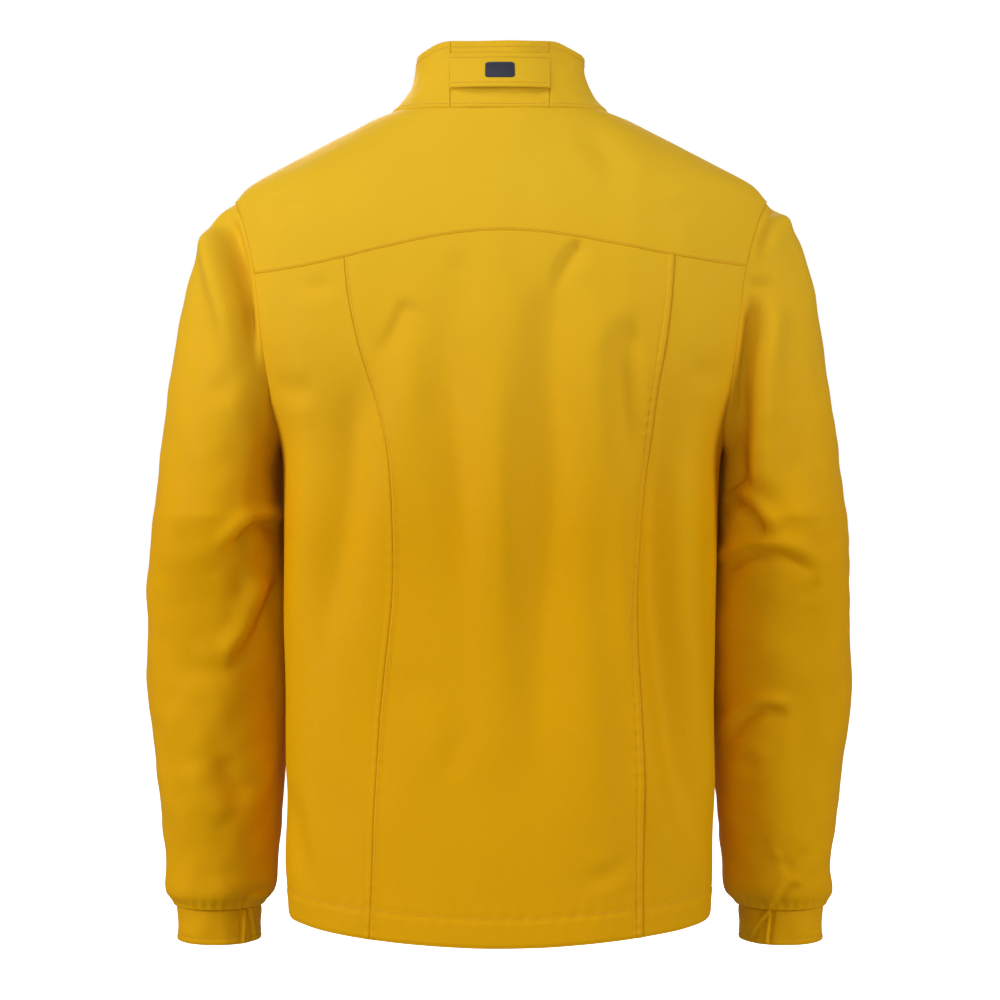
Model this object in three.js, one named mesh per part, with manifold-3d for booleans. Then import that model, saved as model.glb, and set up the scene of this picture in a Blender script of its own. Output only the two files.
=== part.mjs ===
// A waterproof shell jacket, standing in the shape that a wearer gives it.
// Millimetres. +Z is up, the wearer faces -Y, and the wearer's left is +X.
// The origin is the middle of the neck opening at the side neck points, where shoulders or a hanger carry it.

import * as THREE from "three";
import { mergeVertices } from "three/addons/utils/BufferGeometryUtils.js";
import Module from "manifold-3d";

const wasm = await Module();
wasm.setup();

// ---- Driving dimensions -------------------------------------------------------------------------

const BODY_LENGTH = 686; // side neck point down to the hem at the side
const TAIL_DROP = 10; // how much lower the hem is at the centre back
const CHEST_HALF_WIDTH = 188;
const WAIST_TAPER = 3; // narrower than the chest on each side
const HEM_TAPER = 4;
const SHOULDER_HALF_WIDTH = 229; // centre back to the shoulder tip
const SHOULDER_DROP = 76; // side neck point down to the shoulder tip
const ARMHOLE_DEPTH = 209; // shoulder tip down to the underarm
const ARMHOLE_HALF_BREADTH = 72;
const NECK_HALF_WIDTH = 94;
const FRONT_DEPTH = 83; // neck centre forward to the zip, at the side neck points' height
const FRONT_LEAN = 4.6; // degrees by which the zip line leans back towards the chin
const FRONT_NECK_DROP = 34;
const BACK_NECK_DROP = 6;
const COLLAR_RISE = 50; // side neck point up to the collar's top edge at the centre back
const COLLAR_TOP_HALF_WIDTH = 73;
const COLLAR_TOP_BACK = 71;

const SLEEVE_LENGTH = 646; // shoulder tip down to the cuff's edge
const BICEP_HALF_WIDTH = 55;
const ELBOW_HALF_WIDTH = 62;
const WRIST_HALF_WIDTH = 40;
const SLEEVE_REACH = 46; // how far the wrist is in front of the armhole
const ELBOW_DROP = 374; // shoulder tip down to the elbow crease
const CUFF_HEIGHT = 31;
const CUFF_HALF_WIDTH = 37;
const CUFF_HALF_DEPTH = 38;

const FABRIC = 1.0; // laminated shell fabric
const LINING = 0.6;
const COLLAR_FABRIC = 1.6; // shell fabric and interlining
const BACK_LINING_DEPTH = 8; // shell's outside in to the lining
const FRONT_LINING_DEPTH = 10.5; // room for the pocket bags
const SLEEVE_LINING_DEPTH = 4.2;
const COLLAR_LINING_DEPTH = 4.4;
const SEAM_GAP = 1.2; // between the cut edges of two sewn panels
const HEM_DEPTH = 24; // turned-up hem

const YOKE_DROP = 112; // side neck point down to the yoke seam at the centre back
const YOKE_SWEEP = 31; // how much lower that seam is at the armhole
const YOKE_REACH = 18; // past the chest's half-width, where that seam is at its lowest
const FRONT_YOKE_DROP = 36; // shoulder tip down to the yoke's front seam
const COLLAR_PANEL_HALF_WIDTH = 44; // middle back panel of the collar
const COLLAR_TAB_HEIGHT = 30;

const ZIP_EDGE = 8; // front panel edges, either side of the zip's centre
const TAPE_HALF_WIDTH = 13;
const TAPE_DEPTH = 3.0;
const TAPE = 0.8;
const TEETH_HALF_GAP = 0.9;
const TEETH_WIDTH = 3.0;
const TEETH_THICKNESS = 2.6;
const STOP_LENGTH = 2;
const BOX_LENGTH = 9;
const PIN_LENGTH = 8;
const ZIP_CLEARANCE = 0.4; // running clearance round a slider

const POCKET_LENGTH = 165;
const POCKET_TOP_DROP = 470;
const POCKET_TOP_ANGLE = -54;
const POCKET_BOTTOM_ANGLE = -43;
const POCKET_WINDOW_HALF_WIDTH = 7;
const POCKET_BAG_DEPTH = 7.6;

const CUFF_TAB_HEIGHT = 24;
const CUFF_TAB_START = -30; // degrees round the cuff from its outer side, towards the front
const CUFF_TAB_END = -118;

// ---- Heights worked out from them ----------------------------------------------------------------

const HEM_Z = -BODY_LENGTH;
const TIP_Z = -SHOULDER_DROP;
const PIT_Z = TIP_Z - ARMHOLE_DEPTH;
const YOKE_Z = -YOKE_DROP;
const ELBOW_Z = TIP_Z - ELBOW_DROP;
const CUFF_BOTTOM_Z = TIP_Z - SLEEVE_LENGTH;
const CUFF_TOP_Z = CUFF_BOTTOM_Z + CUFF_HEIGHT;
const BICEP_Z = PIT_Z - 60;
const FRONT_COLLAR_RISE = COLLAR_RISE - 8;
const ARM_MID_Z = (TIP_Z + PIT_Z) / 2;
const ARM_HALF_DEPTH = ARMHOLE_DEPTH / 2;

const rad = THREE.MathUtils.degToRad;
const deg = THREE.MathUtils.radToDeg;
const lerp = THREE.MathUtils.lerp;
const clamp = THREE.MathUtils.clamp;
const mirrored = (angle) => 180 - angle;
const steps = (n) => Array.from({ length: n + 1 }, (_, i) => i / n);

// A smooth curve through [place, value] pairs, given in rising order of place.
function profile(points) {
  const slope = (i) => {
    const a = points[Math.max(i - 1, 0)];
    const b = points[Math.min(i + 1, points.length - 1)];
    return (b[1] - a[1]) / (b[0] - a[0]);
  };
  return (x) => {
    const i = clamp(points.findIndex((p) => p[0] > x) - 1, -2, points.length - 2);
    const k = i === -2 ? points.length - 2 : Math.max(i, 0);
    const [a, b] = [points[k], points[k + 1]];
    const h = b[0] - a[0];
    const t = clamp((x - a[0]) / h, 0, 1);
    const rise = (1 - t) * (1 - t);
    return (
      (1 + 2 * t) * rise * a[1] + t * rise * h * slope(k) +
      t * t * (3 - 2 * t) * b[1] + t * t * (t - 1) * h * slope(k + 1)
    );
  };
}

// ---- The body's surface --------------------------------------------------------------------------

const bodySide = profile([
  [HEM_Z, CHEST_HALF_WIDTH - HEM_TAPER],
  [lerp(HEM_Z, PIT_Z, 0.5), CHEST_HALF_WIDTH - WAIST_TAPER],
  [PIT_Z, CHEST_HALF_WIDTH],
]);
const armholeLine = profile([
  [PIT_Z, CHEST_HALF_WIDTH],
  [lerp(PIT_Z, TIP_Z, 0.4), lerp(CHEST_HALF_WIDTH, SHOULDER_HALF_WIDTH, 0.25)],
  [lerp(PIT_Z, TIP_Z, 0.7), lerp(CHEST_HALF_WIDTH, SHOULDER_HALF_WIDTH, 0.46)],
  [lerp(PIT_Z, TIP_Z, 0.9), lerp(CHEST_HALF_WIDTH, SHOULDER_HALF_WIDTH, 0.76)],
  [TIP_Z, SHOULDER_HALF_WIDTH],
]);
const shoulderLine = profile([
  [TIP_Z, SHOULDER_HALF_WIDTH],
  [TIP_Z * 0.8, lerp(NECK_HALF_WIDTH, SHOULDER_HALF_WIDTH, 0.89)],
  [TIP_Z * 0.43, lerp(NECK_HALF_WIDTH, SHOULDER_HALF_WIDTH, 0.5)],
  [TIP_Z * 0.1, lerp(NECK_HALF_WIDTH, SHOULDER_HALF_WIDTH, 0.14)],
  [0, NECK_HALF_WIDTH],
]);
const backLine = profile([
  [HEM_Z, 122],
  [lerp(HEM_Z, PIT_Z, 0.6), 118],
  [PIT_Z, 126],
  [lerp(PIT_Z, YOKE_Z, 0.5), 126],
  [YOKE_Z, 115],
  [YOKE_Z * 0.4, 96],
  [0, 80],
]);
const frontLine = (z) => FRONT_DEPTH - z * Math.tan(rad(FRONT_LEAN));
// How square the body's plan is, as the exponent of a superellipse: 2 is an ellipse.
const FRONT_SQUARENESS = 2.6;
const NECK_BACK_SQUARENESS = 2.15;
const CHEST_BACK_SQUARENESS = 2.4;
const bodySquareness = (z, back) =>
  back ? lerp(NECK_BACK_SQUARENESS, CHEST_BACK_SQUARENESS, clamp(z / PIT_Z, 0, 1)) : FRONT_SQUARENESS;

// Half the armhole's breadth at a height, 0 above the shoulder tip and below the underarm.
function armholeBreadth(z) {
  const share = (z - ARM_MID_Z) / ARM_HALF_DEPTH;
  return Math.abs(share) < 1 ? ARMHOLE_HALF_BREADTH * Math.sqrt(1 - share * share) : 0;
}

function halfWidth(z, back) {
  if (z <= PIT_Z) return bodySide(z);
  if (z >= TIP_Z) return shoulderLine(z);
  const depth = back ? backLine(z) : frontLine(z);
  const n = bodySquareness(z, back);
  return armholeLine(z) / (1 - (armholeBreadth(z) / depth) ** n) ** (1 / n);
}

// The angle, in degrees from the side, at which the armhole's edge cuts the body at a height.
const armholeAngle = (z) => deg(Math.atan2(armholeBreadth(z), armholeLine(z)));

// A point on the body: angle is -90 at the centre front, 0 at the left side and 90 at the centre back.
function onBody(angle, z) {
  const [c, s] = [Math.cos(rad(angle)), Math.sin(rad(angle))];
  const back = s >= 0;
  const n = bodySquareness(z, back);
  const depth = back ? backLine(z) : frontLine(z);
  const r = (Math.abs(c / halfWidth(z, back)) ** n + Math.abs(s / depth) ** n) ** (-1 / n);
  return new THREE.Vector3(r * c, r * s, z);
}

// A surface as a function of two values, moved inwards along its own normal by a depth.
function sunk(surface, du, dv) {
  return (u, v, depth) => {
    const across = surface(u + du, v).sub(surface(u - du, v));
    const along = surface(u, v + dv).sub(surface(u, v - dv));
    return surface(u, v).addScaledVector(across.cross(along).normalize(), -depth);
  };
}
const bodyAt = sunk(onBody, 0.5, 0.5);

// Heights of the seams that cross the body, as functions of the angle.
const hemHeight = (angle) => HEM_Z - TAIL_DROP * Math.max(0, Math.sin(rad(angle))) ** 2;
const neckHeight = (angle) => {
  const s = Math.sin(rad(angle));
  return s < 0 ? -FRONT_NECK_DROP * s * s : -BACK_NECK_DROP * s * s;
};
function yokeHeight(angle) {
  let z = YOKE_Z;
  for (let i = 0; i < 12; i++) {
    const share = clamp(Math.abs(onBody(angle, z).x) / (CHEST_HALF_WIDTH + YOKE_REACH), 0, 1);
    z = YOKE_Z - (YOKE_SWEEP * (1 - Math.cos(Math.PI * share))) / 2;
  }
  return z;
}
const princessLine = profile([
  [HEM_Z, 0.61 * CHEST_HALF_WIDTH],
  [lerp(HEM_Z, PIT_Z, 0.5), 0.56 * CHEST_HALF_WIDTH],
  [PIT_Z - 60, 0.53 * CHEST_HALF_WIDTH],
  [PIT_Z + 30, 0.62 * CHEST_HALF_WIDTH],
  [YOKE_Z - 16, 0.73 * CHEST_HALF_WIDTH],
]);
function princessAngle(z) {
  const n = bodySquareness(z, true);
  const x = princessLine(z);
  return deg(Math.atan2(backLine(z) * (1 - (x / halfWidth(z, true)) ** n) ** (1 / n), x));
}

// Where the yoke's seams meet the armhole, as turns round it:
// 0 at the tip, 90 at the back, 180 at the underarm.
const turnAt = (z) => deg(Math.acos(clamp((z - ARM_MID_Z) / ARM_HALF_DEPTH, -1, 1)));
const heightAt = (turn) => ARM_MID_Z + ARM_HALF_DEPTH * Math.cos(rad(turn));
const BACK_CORNER_Z = YOKE_Z - YOKE_SWEEP;
const FRONT_CORNER_Z = TIP_Z - FRONT_YOKE_DROP;
const BACK_CORNER_TURN = turnAt(BACK_CORNER_Z);
const FRONT_CORNER_TURN = turnAt(FRONT_CORNER_Z);
const FRONT_CORNER_ANGLE = -armholeAngle(FRONT_CORNER_Z);
const FRONT_NECK_CORNER = -40; // degrees, where the yoke's front seam meets the neck seam
const zipEdgeAngle = (z) => -90 + deg(Math.asin(ZIP_EDGE / frontLine(z)));

// The top of a front panel: the neck seam near the zip, then the yoke's front seam out to the armhole.
function frontTop(angle) {
  if (angle <= FRONT_NECK_CORNER) return neckHeight(angle);
  const share = (angle - FRONT_NECK_CORNER) / (FRONT_CORNER_ANGLE - FRONT_NECK_CORNER);
  return lerp(neckHeight(FRONT_NECK_CORNER), FRONT_CORNER_Z, share);
}

// ---- Solids made of a sheet ----------------------------------------------------------------------

// A closed sheet from rows of outer and inner points. closed joins the last column to the first.
function sheet(outer, inner, closed = false) {
  const [rows, cols] = [outer.length, outer[0].length];
  const cell = (r, c) => [[r, c % cols], [r, (c + 1) % cols], [r + 1, (c + 1) % cols], [r + 1, c % cols]];
  // Both layers of a cell are split along its outer layer's shorter diagonal.
  const turned = (r, c) => {
    const [a, b, d, e] = cell(r, c).map(([row, col]) => outer[row][col]);
    return b.distanceTo(e) < a.distanceTo(d) - 1e-6;
  };
  const position = [...outer.flat(), ...inner.flat()].flatMap((p) => [p.x, p.y, p.z]);
  const index = [];
  const at = (layer, r, c) => layer * rows * cols + r * cols + (c % cols);
  const quad = (a, b, c, d) => index.push(a, b, c, a, c, d);
  const lastCol = closed ? cols : cols - 1;
  for (let r = 0; r < rows - 1; r++)
    for (let c = 0; c < lastCol; c++) {
      const corners = cell(r, c);
      if (turned(r, c)) corners.push(corners.shift());
      const [front, rear] = [0, 1].map((layer) => corners.map(([row, col]) => at(layer, row, col)));
      quad(...front);
      quad(rear[0], rear[3], rear[2], rear[1]);
    }
  for (let c = 0; c < lastCol; c++) {
    quad(at(0, 0, c), at(1, 0, c), at(1, 0, c + 1), at(0, 0, c + 1));
    quad(at(0, rows - 1, c), at(0, rows - 1, c + 1), at(1, rows - 1, c + 1), at(1, rows - 1, c));
  }
  if (!closed)
    for (let r = 0; r < rows - 1; r++) {
      quad(at(0, r, 0), at(0, r + 1, 0), at(1, r + 1, 0), at(1, r, 0));
      quad(at(0, r, cols - 1), at(1, r, cols - 1), at(1, r + 1, cols - 1), at(0, r + 1, cols - 1));
    }
  const made = new THREE.BufferGeometry();
  made.setAttribute("position", new THREE.Float32BufferAttribute(position, 3));
  made.setIndex(index);
  return made;
}

// Takes a margin off the edges of a grid of points, so that neighbouring panels keep a gap.
function trimmed(grid, margin, closed) {
  const pulled = (p, q) => p.clone().add(q.clone().sub(p).setLength(margin));
  const rows = grid.map((row) => row.slice());
  const last = rows[0].length - 1;
  if (!closed)
    for (const row of rows) {
      const [start, end] = [pulled(row[0], row[1]), pulled(row[last], row[last - 1])];
      row[0] = start;
      row[last] = end;
    }
  const [top, second] = [rows.length - 1, rows.length - 2];
  const low = rows[0].map((p, c) => pulled(p, rows[1][c]));
  const high = rows[top].map((p, c) => pulled(p, rows[second][c]));
  rows[0] = low;
  rows[top] = high;
  return rows;
}

// Grids are rows of [u, v] places on a surface; the sheet lies between two depths below it.
function sheetOn(surface, places, from, to, margin = SEAM_GAP / 2, closed = false) {
  const placed = (depth) => places.map((row) => row.map(([u, v]) => surface(u, v, depth)));
  const layer = (depth) => trimmed(placed(depth), margin, closed);
  return sheet(layer(from), layer(to), closed);
}

// The same shape on the wearer's other side.
function otherSide(geometry) {
  const made = geometry.clone().scale(-1, 1, 1);
  const index = made.getIndex();
  for (let i = 0; i < index.count; i += 3) {
    const kept = index.getX(i + 1);
    index.setX(i + 1, index.getX(i + 2));
    index.setX(i + 2, kept);
  }
  return made;
}

// ---- Solids joined and cut -----------------------------------------------------------------------

function solid(geometry) {
  const bare = new THREE.BufferGeometry();
  bare.setAttribute("position", geometry.getAttribute("position"));
  bare.setIndex(geometry.getIndex());
  const merged = mergeVertices(bare, 1e-4);
  return new wasm.Manifold(
    new wasm.Mesh({
      numProp: 3,
      vertProperties: merged.getAttribute("position").array,
      triVerts: new Uint32Array(merged.getIndex().array),
    }),
  );
}
function geometryOf(made) {
  const mesh = made.getMesh();
  const out = new THREE.BufferGeometry();
  out.setAttribute("position", new THREE.Float32BufferAttribute(mesh.vertProperties, 3));
  out.setIndex(new THREE.Uint32BufferAttribute(mesh.triVerts, 1));
  return out;
}
const joined = (...pieces) => geometryOf(pieces.map(solid).reduce((a, b) => a.add(b)));
const cut = (piece, ...holes) => geometryOf(holes.reduce((a, hole) => a.subtract(solid(hole)), solid(piece)));

// A box from its lowest to its highest corner.
function box(x0, x1, y0, y1, z0, z1) {
  const middle = [(x0 + x1) / 2, (y0 + y1) / 2, (z0 + z1) / 2];
  return new THREE.BoxGeometry(x1 - x0, y1 - y0, z1 - z0).translate(...middle);
}
// The same on either side of the middle: side is 1 for the wearer's left and -1 for the right.
const onSide = (side, x0, x1, ...rest) => (side > 0 ? box(x0, x1, ...rest) : box(-x1, -x0, ...rest));
// A cylinder along X.
const rod = (radius, length, y, z) =>
  new THREE.CylinderGeometry(radius, radius, length, 16).rotateZ(Math.PI / 2).translate(0, y, z);

// ---- Materials and nodes -------------------------------------------------------------------------

const material = (color, roughness, metalness = 0) =>
  new THREE.MeshStandardMaterial({ color, roughness, metalness });
const materials = {
  shell: material(0xd9a514, 0.62),
  lining: material(0x3b3f47, 0.85),
  tape: material(0x1c2030, 0.8),
  teeth: material(0x20243a, 0.45),
  slider: material(0x2a2d33, 0.35, 0.9),
  puller: material(0x1b1e2b, 0.6),
  emblem: material(0x23263a, 0.5),
  label: material(0x8a8d92, 0.9),
  hook: material(0x15171c, 0.9),
};
const jacket = new THREE.Group();
function add(name, geometry, slot, group = jacket) {
  const mesh = new THREE.Mesh(geometry, materials[slot]);
  mesh.name = name;
  group.add(mesh);
}
function addPair(name, geometry, slot) {
  add("left_" + name, geometry, slot);
  add("right_" + name, otherSide(geometry), slot);
}

// ---- Body panels ---------------------------------------------------------------------------------

const LOW_ROWS = 7; // hem to underarm
const HIGH_ROWS = 6; // underarm to the yoke
const CENTRE_COLS = 8;
const SIDE_COLS = 5;
const YOKE_ROWS = 4;
const NECK_COLS = 5; // zip to the yoke's front seam, along the neck
const BACK_ARM_COLS = 4; // yoke's edge along the armhole, behind the shoulder tip
const FRONT_ARM_COLS = 3;

// Heights up a panel: even rows to the underarm, then rows that follow the armhole's curve to its corner.
function rowHeights(cornerTurn, cornerZ) {
  const low = steps(LOW_ROWS).map((q) => ({ low: true, q }));
  const high = steps(HIGH_ROWS).slice(1).map((k) => {
    const z = heightAt(lerp(180, cornerTurn, k));
    return { low: false, q: (z - PIT_Z) / (cornerZ - PIT_Z) };
  });
  return [...low, ...high];
}
const rowZ = ({ low, q }, foot, top) => (low ? lerp(foot, PIT_Z, q) : lerp(PIT_Z, top, q));

// Places of a panel between two edges, each given as an angle at a height; top gives its upper edge.
function panelPlaces(shares, rows, edgeA, edgeB, top) {
  return rows.map((row) =>
    shares.map((share) => {
      let [z, angle] = [PIT_Z, 0];
      for (let i = 0; i < 14; i++) {
        angle = lerp(edgeA(z), edgeB(z), share);
        z = rowZ(row, hemHeight(angle), top(angle));
      }
      return [angle, z];
    }),
  );
}

const backRows = rowHeights(BACK_CORNER_TURN, BACK_CORNER_Z);
const frontRows = rowHeights(FRONT_CORNER_TURN, FRONT_CORNER_Z);
const farPrincessAngle = (z) => mirrored(princessAngle(z));
const centrePlaces = panelPlaces(steps(CENTRE_COLS), backRows, princessAngle, farPrincessAngle, yokeHeight);
const sidePlaces = panelPlaces(steps(SIDE_COLS), backRows, armholeAngle, princessAngle, yokeHeight);

// Columns of a front panel, as shares from the zip to the side.
// They meet the yoke's rows along its front seam.
const topEdge = zipEdgeAngle(-FRONT_NECK_DROP);
const topAngles = [
  ...steps(NECK_COLS).map((k) => lerp(topEdge, FRONT_NECK_CORNER, k)),
  ...steps(YOKE_ROWS).slice(1).map((k) => lerp(FRONT_NECK_CORNER, FRONT_CORNER_ANGLE, k)),
];
const frontShares = topAngles.map((angle) => (angle - topEdge) / (FRONT_CORNER_ANGLE - topEdge));
const frontPlaces = panelPlaces(frontShares, frontRows, zipEdgeAngle, (z) => -armholeAngle(z), frontTop);

add("centre_back_panel", sheetOn(bodyAt, centrePlaces, 0, FABRIC), "shell");
addPair("side_back_panel", sheetOn(bodyAt, sidePlaces, 0, FABRIC), "shell");

// The yoke runs from its seam on one front, over the shoulder and round the back of the neck, to the other.
const armholeEdge = (turn) => [Math.sign(180 - turn) * armholeAngle(heightAt(turn)), heightAt(turn)];
const outerEdge = [
  ...steps(FRONT_ARM_COLS).map((k) => armholeEdge(lerp(360 - FRONT_CORNER_TURN, 360, k))),
  ...steps(BACK_ARM_COLS).slice(1).map((k) => armholeEdge(lerp(0, BACK_CORNER_TURN, k))),
  ...sidePlaces.at(-1).slice(1),
  ...centrePlaces.at(-1).slice(1, CENTRE_COLS / 2 + 1),
];
const innerEdge = outerEdge.map((_, i) => {
  const angle = lerp(FRONT_NECK_CORNER, 90, i / (outerEdge.length - 1));
  return [angle, neckHeight(angle)];
});
const yokeHalf = steps(YOKE_ROWS).map((k) =>
  outerEdge.map(([angle, z], i) => [lerp(angle, innerEdge[i][0], k), lerp(z, innerEdge[i][1], k)]),
);
const yokePlaces = yokeHalf.map((row) => [
  ...row,
  ...row.slice(0, -1).reverse().map(([angle, z]) => [mirrored(angle), z]),
]);
add("back_yoke", sheetOn(bodyAt, yokePlaces, 0, FABRIC), "shell");

// ---- Front panels, with a window for each hand pocket --------------------------------------------

const pocketTop = bodyAt(POCKET_TOP_ANGLE, -POCKET_TOP_DROP, 0);
const pocketAim = bodyAt(POCKET_BOTTOM_ANGLE, -POCKET_TOP_DROP - POCKET_LENGTH, 0);
const pocketUp = pocketTop.clone().sub(pocketAim).normalize();
const pocketOut = pocketTop.clone().sub(bodyAt(POCKET_TOP_ANGLE, -POCKET_TOP_DROP, 1));
const pocketAcross = new THREE.Vector3().crossVectors(pocketOut, pocketUp).normalize();
const pocketIn = new THREE.Vector3().crossVectors(pocketAcross, pocketUp).normalize();
// Local frame of the left pocket's zip: x across, y inwards, z up, from its top end.
const pocketFrame = new THREE.Matrix4()
  .makeBasis(pocketAcross.clone().negate(), pocketIn, pocketUp)
  .setPosition(pocketTop);
const inPocket = (geometry) => geometry.applyMatrix4(pocketFrame);
const WINDOW_REACH = 12; // deep enough to pass through the curved panel
const pocketWindow = inPocket(
  box(
    -POCKET_WINDOW_HALF_WIDTH, POCKET_WINDOW_HALF_WIDTH,
    -WINDOW_REACH, WINDOW_REACH,
    -POCKET_LENGTH, 0,
  ),
);
addPair("front_panel", cut(sheetOn(bodyAt, frontPlaces, 0, FABRIC), pocketWindow), "shell");

// ---- Collar --------------------------------------------------------------------------------------

const COLLAR_SQUARENESS = 2.2; // of the collar's plan behind the neck
const collarTopHeight = (angle) => lerp(FRONT_COLLAR_RISE, COLLAR_RISE, (1 + Math.sin(rad(angle))) / 2);
// A ring point: half-width to the side, and its own depth to the front and back.
function ringPoint(angle, half, front, back, z) {
  const [c, s] = [Math.cos(rad(angle)), Math.sin(rad(angle))];
  const n = s < 0 ? FRONT_SQUARENESS : COLLAR_SQUARENESS;
  const r = (Math.abs(c / half) ** n + Math.abs(s / (s < 0 ? front : back)) ** n) ** (-1 / n);
  return new THREE.Vector3(r * c, r * s, z);
}
// Up a collar from the neck seam, share 0, to its top edge, share 1. It narrows quickly above the seam.
function onCollar(angle, share) {
  const foot = onBody(angle, neckHeight(angle));
  const z = lerp(foot.z, collarTopHeight(angle), share);
  const top = ringPoint(angle, COLLAR_TOP_HALF_WIDTH, frontLine(z), COLLAR_TOP_BACK, z);
  const seam = ringPoint(angle, NECK_HALF_WIDTH, frontLine(z), backLine(foot.z), z);
  const low = Math.max(0, 1 - share);
  const made = top.lerp(seam, low ** 2.4);
  const ring = ringPoint(angle, NECK_HALF_WIDTH, frontLine(foot.z), backLine(foot.z), z);
  return made.addScaledVector(foot.sub(ring).setZ(0), low ** 3);
}
const collarAt = sunk(onCollar, 0.5, 0.01);
const COLLAR_FOOT = 0.022; // share of its height that the neck seam takes
const collarRows = [COLLAR_FOOT, 0.12, 0.3, 0.55, 0.8, 1];
const collarPlaces = (angles) => collarRows.map((share) => angles.map((angle) => [angle, share]));
const COLLAR_PANEL_ANGLE = deg(Math.acos(COLLAR_PANEL_HALF_WIDTH / 82));
const wingAngles = [
  ...topAngles.slice(0, NECK_COLS + 1),
  ...steps(8).slice(1).map((k) => lerp(FRONT_NECK_CORNER, COLLAR_PANEL_ANGLE, k)),
];
addPair("collar_wing", sheetOn(collarAt, collarPlaces(wingAngles), 0, COLLAR_FABRIC), "shell");
const backAngles = steps(8).map((k) => lerp(COLLAR_PANEL_ANGLE, mirrored(COLLAR_PANEL_ANGLE), k));
add("collar_back_panel", sheetOn(collarAt, collarPlaces(backAngles), 0, COLLAR_FABRIC), "shell");

// A strap across the back panel, sewn down at both ends, that carries a plain printed patch.
const TAB_LIFT = 0.8; // air between it and the collar
const TAB_FABRIC = 1.2;
const TAB_TOP = 0.82; // share of the collar's height
const tabBottom = TAB_TOP - COLLAR_TAB_HEIGHT / (COLLAR_RISE + BACK_NECK_DROP);
const tabPlaces = steps(3).map((k) => backAngles.map((angle) => [angle, lerp(tabBottom, TAB_TOP, k)]));
add("collar_tab", sheetOn(collarAt, tabPlaces, -TAB_LIFT - TAB_FABRIC, -TAB_LIFT, 0.6), "shell");
const patchAngles = steps(4).map((k) => lerp(80.5, 99.5, k));
const PATCH_MARGIN = 0.14; // share of the collar's height between the patch and the strap's edges
const patchShare = (k) => lerp(tabBottom + PATCH_MARGIN, TAB_TOP - PATCH_MARGIN, k);
const patchPlaces = steps(2).map((k) => patchAngles.map((angle) => [angle, patchShare(k)]));
const PATCH_DEPTH = -TAB_LIFT - TAB_FABRIC - 0.6;
add("emblem_patch", sheetOn(collarAt, patchPlaces, PATCH_DEPTH - 0.5, PATCH_DEPTH), "emblem");

const FACING_EDGE = 24; // inner collar, lining and hem facing start this far from the zip's centre
const liningEdge = (z) => -90 + deg(Math.asin(FACING_EDGE / frontLine(z)));
const innerAngles = steps(22).map((k) => lerp(liningEdge(0), mirrored(liningEdge(0)), k));
const innerCollarPlaces = [0.06, 0.3, 0.65, 0.97].map((share) => innerAngles.map((angle) => [angle, share]));
const INNER_COLLAR = 0.9;
add(
  "inner_collar",
  sheetOn(collarAt, innerCollarPlaces, COLLAR_LINING_DEPTH, COLLAR_LINING_DEPTH + INNER_COLLAR),
  "lining",
);

// ---- Sleeves -------------------------------------------------------------------------------------

const INNER_CLEARANCE = 3; // between the sleeve and the body's side
const ELBOW_INNER_SHIFT = 4; // the forearm passes in front of the body, so it may sit closer in
const sleeveZ = [
  CUFF_TOP_Z,
  lerp(CUFF_TOP_Z, ELBOW_Z, 0.12),
  lerp(CUFF_TOP_Z, ELBOW_Z, 0.4),
  ELBOW_Z,
  BICEP_Z,
];
const sleeveHalfWidth = profile([
  [sleeveZ[0], WRIST_HALF_WIDTH],
  [sleeveZ[1], WRIST_HALF_WIDTH + 6],
  [sleeveZ[2], lerp(WRIST_HALF_WIDTH, ELBOW_HALF_WIDTH, 0.64)],
  [sleeveZ[3], ELBOW_HALF_WIDTH],
  [sleeveZ[4], BICEP_HALF_WIDTH],
]);
const sleeveHalfDepth = profile([
  [sleeveZ[0], CUFF_HALF_DEPTH + 3],
  [sleeveZ[1], CUFF_HALF_DEPTH + 10],
  [sleeveZ[2], CUFF_HALF_DEPTH + 20],
  [sleeveZ[3], CUFF_HALF_DEPTH + 28],
  [sleeveZ[4], ARMHOLE_HALF_BREADTH + 1],
]);
const sleeveInner = profile([
  [sleeveZ[0], CHEST_HALF_WIDTH + 22],
  [sleeveZ[1], CHEST_HALF_WIDTH + 14],
  [sleeveZ[2], CHEST_HALF_WIDTH + 5],
  [sleeveZ[3], CHEST_HALF_WIDTH - ELBOW_INNER_SHIFT],
  [sleeveZ[4], CHEST_HALF_WIDTH + INNER_CLEARANCE],
]);
const sleeveForward = profile([
  [sleeveZ[0], -SLEEVE_REACH - 16],
  [lerp(CUFF_TOP_Z, ELBOW_Z, 0.5), -SLEEVE_REACH - 8],
  [sleeveZ[3], -SLEEVE_REACH * 0.85],
  [sleeveZ[4], -SLEEVE_REACH * 0.25],
]);
function onTube(turn, z) {
  const half = sleeveHalfWidth(z);
  const [c, s] = [Math.cos(rad(turn)), Math.sin(rad(turn))];
  return new THREE.Vector3(
    sleeveInner(z) + half + half * c,
    sleeveForward(z) + sleeveHalfDepth(z) * s,
    z,
  );
}
function onArmhole(turn) {
  const z = heightAt(turn);
  return new THREE.Vector3(armholeLine(z), ARMHOLE_HALF_BREADTH * Math.sin(rad(turn)), z);
}
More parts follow.
